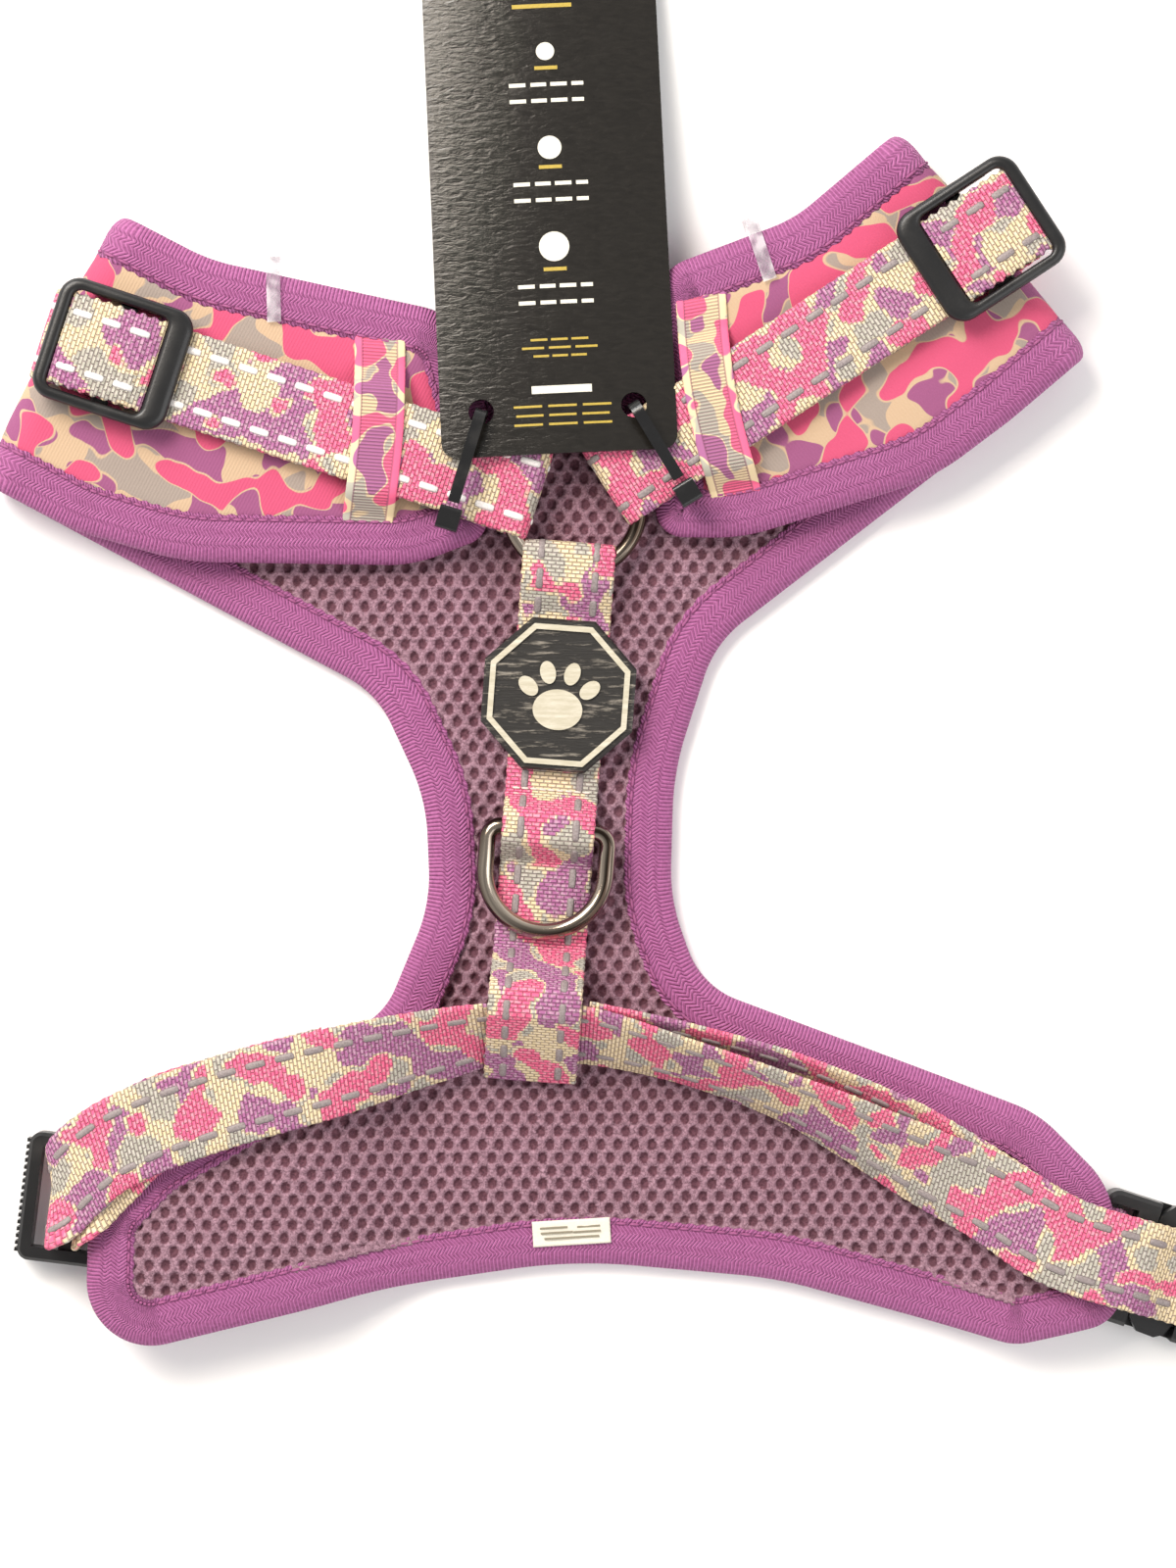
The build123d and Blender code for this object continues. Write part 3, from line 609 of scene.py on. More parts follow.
# ---------------------------------------------------------------- harness layout (millimetres)
WEBBING = 20.0
HALF_THICK = 0.7
PANEL = 5.2
FOLD_RADIUS = 7.0
WING_DROP = 1.8
BINDING = 10.3
FOLDS = {
    "left": {"turn": 152.5, "reach": 148.9, "low": 16.4, "high": 82.0, "hand": -1},
    "right": {"turn": 40.5, "reach": 161.5, "low": 8.2, "high": 71.9, "hand": 1},
}
NECKLINE = [(-62.3, 124.8, 40), (4, 96, 45), (47.1, 134.8, 30)]
BODY_EDGE = [
    (36, 48, 25), (27, 20, 60), (26.2, -8, 40), (33, -27, 18), (106, -54.3, 25),
    (121.5, -70, 20), (125, -99, 9), (101, -105, 12), (50, -91, 90), (5, -87, 120),
    (-38, -93.2, 120), (-101, -108.5, 14), (-100, -75, 14), (-88, -62.5, 25),
    (-36, -32.5, 16), (-26.3, -9, 35), (-27.3, 14, 40), (-38, 37, 22),
]
WING_EDGE = {
    "left": [
        (-74, 131, 40), (-20, 119.3, 13), (-13.4, 96, 30), (-13.8, 71, 6),
        (-30, 64.8, 30), (-80, 65.5, 60), (-103.2, 72.2, 40),
    ],
    "right": [
        (53, 140, 30), (23, 128.7, 10), (23, 71, 6), (42, 70.8, 40),
        (83, 83.5, 50), (99.9, 96.2, 40),
    ],
}
UNDERSIDE = [
    (-130, 9.8), (-52, 9.8), (-28, 0), (38, 0), (58, 1.6), (84, 1.6), (112, 8.8), (130, 8.8),
]
RING_CENTRE = np.array((5.2, 77.4, 11.2))
RING_RADIUS = 14.3
RING_WIRE = 1.7
RING_TILT = math.radians(9.0)
WRAP = 2.7
LOOP_SLACK = 3.2
SLIDER_CENTRE = {"left": (-94.4, 110.0), "right": (93.1, 134.8)}
SHOULDER = -9.6
TAIL_HEIGHT = 1.9
TAIL_START = 2.8
TOP_HEIGHT = 3.4
KEEPER = {
    "left": ((-37.1, 113.4), (-39.7, 75.0)),
    "right": ((32.8, 122.6), (40.3, 80.9)),
}
KEEPER_BOW = {"left": -0.96, "right": 1.6}
SPINE_FOOT = (-0.93, 0, 0)
SPINE_TURN = 85.7
LAYER_ONE = 6.1
LAYER_TWO = 7.6
D_BAR = (7.5, 10.4)
D_HALF_WIDTH = 13.1
D_LENGTH = 22.3
D_WIRE = 1.8
BUCKLES = {
    "left": {"bar": (-61.3, -78.9), "turn": 173.0},
    "right": {"bar": (117.8, -83.9), "turn": -18.0},
}
BUCKLE_MID = 4.2
LADDER_BAR = 43.5
TAG_FOOT = (2.2, 88.4, 18.0)
TAG_TURN = 2.7
TAG_SLOPE = math.radians(7.1)
TAG_HALF_WIDTH = 25.5
TAG_THICK = 0.8
TAG_BOW = 1.3
LABEL_FOOT = (4.6, -80.6, 5.35)
LABEL_TURN = 3.5
LABEL_HALF = (8.5, 2.8)
UP = np.array((0.0, 0.0, 1.0))


class Plane:
    """A place with its own x, y and z directions."""

    def __init__(self, origin, x, z):
        self.origin = np.asarray(origin, float)
        self.x = normalized(np.asarray(x, float))
        self.z = normalized(np.asarray(z, float))
        self.y = np.cross(self.z, self.x)

    def out(self, u, v, h=0.0):
        u, v, h = np.broadcast_arrays(u, v, h)
        return self.origin + self.x * u[..., None] + self.y * v[..., None] + self.z * h[..., None]

    def into(self, spot):
        gap = np.asarray(spot, float) - self.origin
        return gap.dot(self.x), gap.dot(self.y), gap.dot(self.z)


def fold_normal(side):
    return unit(FOLDS[side]["turn"])


def fold_point(side, along, beyond=0.0):
    reach = FOLDS[side]["reach"] - FOLD_RADIUS + beyond
    line = unit(FOLDS[side]["turn"] + 90 * FOLDS[side]["hand"])
    return fold_normal(side) * reach + line * along


def wing_plane(side):
    out = fold_normal(side)
    drop = math.radians(WING_DROP)
    inward = -out * math.cos(drop) - UP * math.sin(drop)
    outward = UP * math.cos(drop) - out * math.sin(drop)
    return Plane(fold_point(side, 0) + UP * FOLD_RADIUS, inward, outward)


def in_wing(side, x, y):
    gap = np.array((x, y, 0.0)) - fold_point(side, 0)
    return -gap.dot(fold_normal(side)), gap.dot(wing_plane(side).y)


def on_wing(side, u, v, h):
    """Wing, fold or body point: u in from the fold, v along it, h from its axis."""
    plane = wing_plane(side)
    u, v, h = np.broadcast_arrays(u, v, h)
    whole = math.radians(180 + WING_DROP)
    angle = np.clip(-u / FOLD_RADIUS, 0, whole)
    radial = plane.z * np.cos(angle)[..., None] - plane.x * np.sin(angle)[..., None]
    spot = plane.origin + plane.y * v[..., None] + radial * h[..., None]
    spot = spot + plane.x * np.maximum(u, 0)[..., None]
    past = np.maximum(-u - whole * FOLD_RADIUS, 0)
    return spot - fold_normal(side) * past[..., None], radial


FOLD_LENGTH = math.radians(180 + WING_DROP) * FOLD_RADIUS


def body_path(step):
    """Edge of the lower layer from the right fold round to the left fold."""
    start = fold_point("right", FOLDS["right"]["low"])[:2]
    end = fold_point("left", FOLDS["left"]["low"])[:2]
    corners = [start] + [(x, y) for x, y, r in BODY_EDGE] + [end]
    return rounded(corners, [r for x, y, r in BODY_EDGE], step)


def neck_path(step):
    start = fold_point("left", FOLDS["left"]["high"])[:2]
    end = fold_point("right", FOLDS["right"]["high"])[:2]
    corners = [start] + [(x, y) for x, y, r in NECKLINE] + [end]
    return rounded(corners, [r for x, y, r in NECKLINE], step)


def wing_path(side, step):
    """Edge of a wing in its own plane, from the neck end of its fold to the other."""
    sign = -FOLDS[side]["hand"]
    start = (0.0, FOLDS[side]["high"] * sign)
    end = (0.0, FOLDS[side]["low"] * sign)
    corners = [start] + [in_wing(side, x, y) for x, y, r in WING_EDGE[side]] + [end]
    return rounded(corners, [r for x, y, r in WING_EDGE[side]], step)


def body_outline():
    beyond = 60
    far = [
        fold_point("left", FOLDS["left"]["low"], beyond)[:2],
        fold_point("left", FOLDS["left"]["high"], beyond)[:2],
    ]
    near = [
        fold_point("right", FOLDS["right"]["high"], beyond)[:2],
        fold_point("right", FOLDS["right"]["low"], beyond)[:2],
    ]
    return np.concatenate((far, neck_path(3.0), near, body_path(3.0)))


def wing_outline(side):
    path = wing_path(side, 2.5)
    beyond = np.array([(-90.0, path[-1][1]), (-90.0, path[0][1])])
    return np.concatenate((path, beyond))


def underside(x, y):
    """Height of the lower layer's underside, smoothed, below the waist only."""
    xs = [p[0] for p in UNDERSIDE]
    zs = [p[1] for p in UNDERSIDE]
    spread = (-4.5, -3, -1.5, 0, 1.5, 3, 4.5)
    level = sum(np.interp(x + d, xs, zs) for d in spread) / len(spread)
    return np.where(y < 0, level, 0.0)


def ring_plane():
    return Plane(RING_CENTRE, (1, 0, 0), (0, -math.sin(RING_TILT), math.cos(RING_TILT)))


def strap_plane(side):
    wing = wing_plane(side)
    start = wing.out(*in_wing(side, *SLIDER_CENTRE[side]), FOLD_RADIUS)
    ring = wing.out(*in_wing(side, *RING_CENTRE[:2]), FOLD_RADIUS)
    along = normalized(ring - start)
    return Plane(start, along, np.cross(along, wing.z))


def ring_spot(side):
    plane = strap_plane(side)
    away = normalized((plane.origin - RING_CENTRE) * (1, 1, 0))
    spot = RING_CENTRE + (away + UP * away[1] * math.tan(RING_TILT)) * RING_RADIUS
    return plane.into(spot)[:2]


def fold_start(side):
    plane = strap_plane(side)
    wing = wing_plane(side)
    here = wing.into(plane.origin)[0]
    return -here / (wing.into(plane.origin + plane.x)[0] - here)


def spine_plane():
    along = unit(SPINE_TURN)
    return Plane(SPINE_FOOT, along, np.cross(along, UP))


def buckle_plane(side):
    along = unit(BUCKLES[side]["turn"])
    return Plane((*BUCKLES[side]["bar"], 0), along, np.cross(along, UP))


# ---------------------------------------------------------------- padded panel
MESH_STEP = 0.5
CLOTH_STEP = 1.2
CLOTH_INSET = 8.4
HOLE_PITCH = (3.7, 2.8)
HOLE_SIZE = (1.05, 1.3)
HOLE_DEPTH = 1.1


def hole_field(x, y):
    """1 at the middle of each hole of the air mesh, 0 between holes."""
    best = np.zeros_like(x)
    width, height = HOLE_PITCH
    row = np.round(y / height)
    for shift in (-1, 0, 1):
        line = row + shift
        offset = (line % 2) * width / 2
        column = np.round((x - offset) / width) * width + offset
        wobble = 0.22 * np.sin(column * 1.7 + line * 2.3)
        dx = (x - column - wobble) / HOLE_SIZE[0]
        dy = (y - line * height + wobble * 0.6) / HOLE_SIZE[1]
        best = np.maximum(best, (1.2 - np.sqrt(dx * dx + dy * dy)) / 0.45)
    return smooth(best)


def body_grid(step):
    xs = np.arange(-128, 128, step)
    ys = np.arange(-110, 158, step)
    x, y = np.meshgrid(xs, ys, indexing="ij")
    spots = np.stack((x.ravel(), y.ravel()), 1)
    inset = distance_inside(spots, body_outline()).reshape(x.shape)
    keep = inset > CLOTH_INSET
    for side in FOLDS:
        out = fold_normal(side)
        keep &= x * out[0] + y * out[1] < FOLDS[side]["reach"] - FOLD_RADIUS + 0.4
    return x, y, inset, keep


def make_lining():
    """Air mesh over the lower layer, with real holes, thinner where the tape grips it."""
    x, y, inset, keep = body_grid(MESH_STEP)
    base = underside(x, y)
    hole = hole_field(x, y) * smooth((inset - 9.6) / 1.5)
    quilt = 0.16 * np.sin(x / 7.3 + 0.6 * np.sin(y / 9)) * np.sin(y / 8.1)
    ridges = 0.22 * np.sin(x / 2.6 + y / 9) * smooth((-58 - x) / 14) * smooth((-48 - y) / 8)
    crown = 0.42 * smooth((inset - 10.0) / 7.0)
    surface = base + PANEL - 0.35 + crown + (quilt + ridges) * smooth((inset - 10) / 4)
    top = np.stack((x, y, surface - HOLE_DEPTH * hole), -1) * MM
    bottom = np.stack((x, y, base + 2.4), -1) * MM
    points, faces, used = closed_grid(keep, top, bottom)
    pattern = np.stack((x, y, x * 0), -1)[used] * MM
    piece = new_piece(
        "chest_lining", points, faces.tolist(), "mesh", "harness",
        ["chest_mesh"], np.concatenate((pattern, pattern)))
    set_attribute(piece.data, "hole", "FLOAT", np.concatenate((hole[used], hole[used] * 0)))


def make_underside():
    """Printed cloth on the side that the harness lies on."""
    x, y, inset, keep = body_grid(CLOTH_STEP * 1.4)
    base = underside(x, y)
    low = base + 0.08 + 0.5 * smooth((10.5 - inset) / 1.5)
    bottom = np.stack((x, y, low), -1) * MM
    top = np.stack((x, y, base + 2.2), -1) * MM
    points, faces, used = closed_grid(keep, top, bottom)
    pattern = np.stack((x + 400, y, x * 0), -1)[used] * MM
    piece = new_piece(
        "chest_underside", points, faces.tolist(), "cloth", "harness",
        ["chest_shell"], np.concatenate((pattern, pattern)))


def wing_relief(u, v, inset):
    """Soft wrinkles and the padded crown of a folded wing."""
    crown = 0.35 * smooth((inset - 9.5) / 9)
    ripple = 0.16 * np.sin(u / 5.2 + 1.3 * np.sin(v / 9.0)) * np.sin(v / 6.0 + u / 15)
    fold_pull = 0.25 * np.exp(-(u / 9.0) ** 2) * np.sin(v / 2.6 + 2 * np.sin(v / 7))
    return crown + ripple * smooth((inset - 10) / 6) + fold_pull * smooth((inset - 10) / 5)


def make_wing(side):
    """One shoulder arm: printed cloth outside, round the fold and over the wing."""
    outline = wing_outline(side)
    us = np.arange(-FOLD_LENGTH - 0.2, outline[:, 0].max(), CLOTH_STEP)
    vs = np.arange(outline[:, 1].min(), outline[:, 1].max(), CLOTH_STEP)
    u, v = np.meshgrid(us, vs, indexing="ij")
    inset = distance_inside(np.stack((u.ravel(), v.ravel()), 1), outline).reshape(u.shape)
    keep = inset > CLOTH_INSET
    relief = wing_relief(u, v, inset) * np.where(u < -FOLD_LENGTH * 0.7, 0, 1)
    squeeze = 0.5 * smooth((10.6 - inset) / 1.6)
    outer = on_wing(side, u, v, FOLD_RADIUS - 0.12 + relief - squeeze)[0] * MM
    inner = on_wing(side, u, v, FOLD_RADIUS - PANEL + 0.3)[0] * MM
    flip = -1 if side == "left" else 1
    points, faces, used = closed_grid(keep, outer, inner)
    place = 250 if side == "left" else 800
    pattern = np.stack((u * flip + place, v, u * 0), -1)[used] * MM
    piece = new_piece(
        f"chest_arm_{side}", points, faces.tolist(), "cloth", "harness",
        ["chest_shell", "chest_mesh"], np.concatenate((pattern, pattern)))
    piece.data.materials.append(MATERIALS["mesh"])
    count = int((keep[:-1, :-1] & keep[1:, :-1] & keep[:-1, 1:] & keep[1:, 1:]).sum())
    slots = [0] * len(piece.data.polygons)
    slots[count:2 * count] = [1] * count
    piece.data.polygons.foreach_set("material_index", slots)
    hole = hole_field(u, v)[used]
    set_attribute(piece.data, "hole", "FLOAT", np.concatenate((hole * 0, hole)))


TAPE_PROFILE = [
    (BINDING, 2.46), (9.7, 2.54), (9.2, 2.36), (8.7, 2.54), (6.4, 2.64), (4.6, 2.60), (3.1, 2.42),
    (1.9, 2.08), (0.9, 1.52), (0.25, 0.85), (0.0, 0.0), (0.25, -0.85), (0.9, -1.52), (1.9, -2.08),
    (3.1, -2.42), (4.6, -2.60), (6.4, -2.60), (8.7, -2.54), (9.2, -2.40), (BINDING, -2.46),
    (BINDING, -1.9), (6.0, -1.95), (3.2, -1.7), (1.6, -0.9), (1.6, 0.9), (3.2, 1.7), (6.0, 1.95),
    (BINDING, 1.9),
]
STITCH_INSET = 9.2
STITCH_PITCH = 2.7


def edge_frames(step):
    """Closed frames all round the panel's edge, through both folds."""
    middle = PANEL / 2
    spots, inward, normal = [], [], []

    def add_flat(path):
        height = underside(path[:, 0], path[:, 1]) + middle
        spots.append(np.column_stack((path, height)))
        inward.append(np.column_stack((*inward_of(path), height * 0)))
        normal.append(np.tile(UP, (len(path), 1)))

    def add_fold(side, end, to_wing):
        count = max(int(FOLD_LENGTH / step), 8)
        u = np.linspace(-FOLD_LENGTH, 0, count + 1)[1:-1]
        u = u if to_wing else u[::-1]
        v = FOLDS[side][end] * -FOLDS[side]["hand"]
        here, radial = on_wing(side, u, v, FOLD_RADIUS - middle)
        towards = wing_plane(side).y * -FOLDS[side]["hand"] * (1 if end == "low" else -1)
        spots.append(here)
        inward.append(np.tile(towards, (len(u), 1)))
        normal.append(-radial)

    def add_wing(side, from_top):
        path = wing_path(side, step)
        plane = wing_plane(side)
        toward = np.stack(inward_of(path), 1) * -FOLDS[side]["hand"]
        here, radial = on_wing(side, np.maximum(path[:, 0], 0), path[:, 1], FOLD_RADIUS - middle)
        directions = plane.x * toward[:, :1] + plane.y * toward[:, 1:]
        order = slice(None) if from_top else slice(None, None, -1)
        spots.append(here[order])
        inward.append(directions[order])
        normal.append(-radial[order])

    add_flat(body_path(step))
    add_fold("left", "low", True)
    add_wing("left", False)
    add_fold("left", "high", False)
    add_flat(neck_path(step))
    add_fold("right", "high", True)
    add_wing("right", True)
    add_fold("right", "low", False)
    return np.concatenate(spots), np.concatenate(inward), np.concatenate(normal)


def pull_of_stitches(a, b, travel):
    """Scallops the tape's inner lip and dimples it at every stitch."""
    beat = np.cos(2 * math.pi * travel / STITCH_PITCH)
    lip = smooth((a - 8.0) / 1.5)
    return a + 0.22 * beat * lip, b * (1 + 0.045 * beat * lip)


def make_binding():
    """Twill tape folded round the whole edge, with its lockstitch on both faces."""
    spots, inward, normal = edge_frames(0.7)
    points, faces, pattern = sweep(
        TAPE_PROFILE, spots, inward, normal, closed=True, edit=pull_of_stitches)
    new_piece(
        "binding_tape", points * MM, faces, "tape", "harness",
        ["edge_binding"], pattern * MM)
    rows = [(inward * STITCH_INSET, 2.62), (inward * STITCH_INSET, -2.58)]
    make_stitches(
        "binding_stitches", spots, normal, rows, STITCH_PITCH, 2.0, 0.34, "thread")


ROUND_STITCH = [(-0.5, 0.35), (-0.3, 0.9), (0.0, 1.0), (0.3, 0.9), (0.5, 0.35)]
FLAT_STITCH = [(-0.5, 0.55), (-0.43, 0.92), (-0.2, 1.0), (0.2, 1.0), (0.43, 0.92), (0.5, 0.55)]


STITCH_SIDES = 6


def value_at(at, travel, rows):
    return np.array([np.interp(at, travel, rows[:, k]) for k in range(3)])


def make_stitches(name, spots, normal, rows, pitch, length, radius, material, body="harness",
                  shape=ROUND_STITCH, height=0.7):
    """Rows of short raised stitches along a path, as one piece."""
    travel = travelled(spots)
    middles = np.arange(pitch / 2, travel[-1] - length / 2, pitch)
    points = []
    faces = []
    for offset, lift in rows:
        line = spots + offset + normal * lift
        for middle in middles:
            faces += skin(len(shape), STITCH_SIDES, first=len(points))
            for along, swell in shape:
                at = middle + along * length
                centre = value_at(at, travel, line)
                up = value_at(at, travel, normal)
                tangent = value_at(at + 0.4, travel, line) - centre
                tangent /= max(np.linalg.norm(tangent), 1e-6)
                side = np.cross(up, tangent)
                for k in range(STITCH_SIDES):
                    angle = 2 * math.pi * k / STITCH_SIDES
                    arm = side * math.cos(angle) + up * math.sin(angle) * height
                    points.append(centre + arm * radius * swell)
    return new_piece(name, np.array(points) * MM, faces, material, body)


# ---------------------------------------------------------------- straps
WEB_PROFILE = [
    (-9.6, 0.60), (-8.2, 0.66), (-5.0, 0.68), (0.0, 0.70), (5.0, 0.68), (8.2, 0.66), (9.6, 0.60),
    (9.95, 0.34), (10.05, 0.0), (9.95, -0.34),
    (9.6, -0.60), (5.0, -0.68), (0.0, -0.70), (-5.0, -0.68), (-9.6, -0.60),
    (-9.95, -0.34), (-10.05, 0.0), (-9.95, 0.34),
]
SCALLOP = (0.011, 2.6)
# the left straps' dashes take the lighter copy of the same reflective thread, a painted glint
DASH_THREAD = {"left": "dash_light", "right": "dash"}
DASH_PITCH = 6.4
DASH_LENGTH = 4.2
DASH_ROWS = (-6.0, 6.0)
PATTERN_STARTS = iter(range(100, 4000, 130))


def make_strap(name, spots, across, body, replaces=(), profile=WEB_PROFILE,
               material="webbing", ripple=SCALLOP, dashed=(1, -1), thread="dash", edit=None):
    """Woven strap along a path, with its rows of reflective stitches; returns its pieces."""
    normal = normalized(np.cross(across, tangents(spots)))
    points, faces, pattern = sweep(profile, spots, across, normal, ripple=ripple, edit=edit)
    pattern = (pattern + (next(PATTERN_STARTS), 0, 0)) * MM
    pieces = [new_piece(name, points * MM, faces, material, body, replaces, pattern)]
    if dashed:
        rows = [(across * row, lift * HALF_THICK) for row in DASH_ROWS for lift in dashed]
        pieces.append(make_stitches(
            f"{name}_dashes", spots, normal, rows, DASH_PITCH, DASH_LENGTH, 0.82, thread, None,
            FLAT_STITCH, 0.38))
    return pieces


def strap_in_plane(plane, points, radii, step=0.7):
    line = rounded(points, radii, step)
    spots = plane.out(line[:, 0], line[:, 1])
    return spots, np.tile(plane.z, (len(spots), 1))


def make_neck_strap(side):
    """Top run: from under the fold, over the wing and round the ring."""
    plane = strap_plane(side)
    wire_x, wire_y = ring_spot(side)
    fold_x = wire_x + WRAP + LOOP_SLACK
    sewn_x = fold_start(side) - FOLD_RADIUS - 1.2
    shoulder_x = min(sewn_x, SHOULDER)
    points = [(sewn_x, -8.5)]
    radii = []
    if shoulder_x < sewn_x:
        points += [(sewn_x, -6.5), (shoulder_x, -2.0)]
        radii += [2, 2]
    points += [
        (shoulder_x, TOP_HEIGHT), (wire_x - 6.5, TOP_HEIGHT), (wire_x - 1.6, wire_y + WRAP),
        (fold_x, wire_y + WRAP), (fold_x, wire_y - WRAP),
        (wire_x - 1.5, wire_y - WRAP), (wire_x - 4.8, TAIL_HEIGHT), (wire_x - 9.0, TAIL_HEIGHT),
    ]
    radii += [4, 3, 3, WRAP - 0.01, WRAP - 0.01, 1, 1]
    spots, across = strap_in_plane(plane, points, radii)
    pieces = make_strap(
        f"neck_webbing_{side}", spots, across, None, replaces=[f"neck_strap_{side}"],
        thread=DASH_THREAD[side])
    for piece in pieces:
        lean_with_ring(piece, plane, wire_x)
        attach(piece, "harness")


def lean_with_ring(piece, plane, wire_x):
    """Tilts the end of a strap as the ring is tilted, so that the wire stays inside its loop."""
    slope = math.tan(RING_TILT) * plane.z[1]
    for vertex in piece.data.vertices:
        local = plane.into(np.array(vertex.co) / MM)
        near = float(smooth((local[0] - wire_x + 9.0) / 7.0))
        vertex.co.z += near * slope * local[2] * MM


def make_neck_tail(side):
    """Under run from the ring back to the slider's middle bar."""
    plane = strap_plane(side)
    end = ring_spot(side)[0] - 8.6
    spots, across = strap_in_plane(plane, [(TAIL_START, TAIL_HEIGHT), (end, TAIL_HEIGHT)], [])
    piece = make_strap(
        f"neck_webbing_under_{side}", spots, across, "harness", replaces=[f"neck_strap_tail_{side}"],
        dashed=())[0]
    tuple(plane.out(end, TAIL_HEIGHT) * MM)
    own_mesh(piece)


SLIDER_OUTER = (-15.0, 15.0, 13.5)
SLIDER_WINDOW = (-12.0, 9.4, 11.0)
FRAME_BASE = 4.5
SLIDER_BARS = [
    ((-9.0, 0.3, -13.4), (9.0, 4.9, -11.1)), ((-9.0, 0.3, 11.1), (9.0, 4.9, 13.4)),
    ((-1.9, 0.35, -11.3), (1.9, 2.35, 11.3)),
]


def frame_loop(x0, x1, half, radius, count=8):
    """Rounded rectangle as a list of points, the same number for every size."""
    corners = [(x1, half, 0), (x0, half, 90), (x0, -half, 180), (x1, -half, 270)]
    loop = []
    for x, y, turn in corners:
        centre = (x - math.copysign(radius, x - (x0 + x1) / 2), y - math.copysign(radius, y))
        for k in range(count + 1):
            angle = math.radians(turn + 90 * k / count)
            loop.append((centre[0] + radius * math.cos(angle), centre[1] + radius * math.sin(angle)))
    return loop


def add_shape(points, faces, more, shape):
    """Appends one shape's points and faces to the lists of a larger piece."""
    faces += [tuple(i + len(points) for i in face) for face in shape]
    points += [tuple(p) for p in more]


def soft_box(low, high, bevel):
    """Box with its edges cut off, as points and faces."""
    low, high = np.array(low), np.array(high)
    middle, half = (low + high) / 2, (high - low) / 2
    points = []
    faces = []
    for axis in range(3):
        for sign in (-1, 1):
            first, second = (axis + 1) % 3, (axis + 2) % 3
            quad = []
            for a, b in ((-1, -1), (1, -1), (1, 1), (-1, 1)):
                corner = np.zeros(3)
                corner[axis] = sign * half[axis]
                corner[first] = a * (half[first] - bevel)
                corner[second] = b * (half[second] - bevel)
                quad.append(len(points))
                points.append(middle + corner)
            faces.append(tuple(quad if sign > 0 else quad[::-1]))
    hull = bpy.data.meshes.new("hull")
    shape = bmesh.new()
    for point in points:
        shape.verts.new(point)
    bmesh.ops.convex_hull(shape, input=shape.verts)
    shape.to_mesh(hull)
    shape.free()
    points = [np.array(v.co) for v in hull.vertices]
    faces = [tuple(p.vertices) for p in hull.polygons]
    bpy.data.meshes.remove(hull)
    return points, faces


def make_slider(side):
    """Tri-glide: bevelled frame with a wide bar at the ring's side, rails and middle bar."""
    plane = strap_plane(side)
    x0, x1, half = SLIDER_OUTER
    u0, u1, inner = SLIDER_WINDOW
    loops = [
        (frame_loop(x0, x1, half, 4.6), FRAME_BASE), (frame_loop(x0, x1, half, 4.6), 5.6),
        (frame_loop(x0 + 0.4, x1 - 0.5, half - 0.4, 4.2), 6.2),
        (frame_loop(x0 + 1.0, x1 - 1.5, half - 0.9, 3.7), 6.5),
        (frame_loop(u0 - 0.8, u1 + 1.1, inner + 0.7, 2.5), 6.6),
        (frame_loop(u0 - 0.2, u1 + 0.3, inner + 0.2, 2.1), 6.3),
        (frame_loop(u0, u1, inner, 1.9), 5.6), (frame_loop(u0, u1, inner, 1.9), FRAME_BASE),
    ]
    size = len(loops[0][0])
    points = [(x, height, z) for loop, height in loops for x, z in loop]
    faces = skin(len(loops), size, closed=True)
    for low, high in SLIDER_BARS:
        add_shape(points, faces, *soft_box(low, high, 0.5))
    points = plane.out(*np.array(points).T)
    piece = new_piece(
        f"slider_frame_{side}", points * MM, faces, "plastic", f"slider_{side}",
        [f"slider_{side}"], smooth=False)
    for polygon in piece.data.polygons[:size * len(loops)]:
        polygon.use_smooth = True


def coarse_ribs(a, b, travel):
    return a, b + 0.16 * np.sin(2 * math.pi * travel / 2.1) + 0.25 * (1 - (a / 10) ** 2)


def make_slider_loop(side):
    """The part of the strap that arches up through the slider's window."""
    plane = strap_plane(side)
    points = [(-11.6, 5.0), (-9.0, 5.9), (-5.0, 6.4), (4.5, 6.4), (9.1, 5.1)]
    spots, across = strap_in_plane(plane, points, [5, 8, 10], 0.4)
    dashes = make_strap(
        f"slider_loop_{side}", spots, across, f"slider_{side}", dashed=(1,), ripple=(0.03, 2.6),
        thread=DASH_THREAD[side], edit=coarse_ribs)[1]
    for vertex in dashes.data.vertices:
        vertex.co += Vector(plane.y * 0.2 * MM)
    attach(dashes, f"slider_{side}")


ELASTIC_PROFILE = [
    (-5.2, 0.34), (-3.6, 0.30), (0.0, 0.32), (3.6, 0.30), (5.2, 0.34), (5.5, 0.15), (5.5, -0.15),
    (5.2, -0.36), (0.0, -0.4), (-5.2, -0.36), (-5.5, -0.15), (-5.5, 0.15),
]


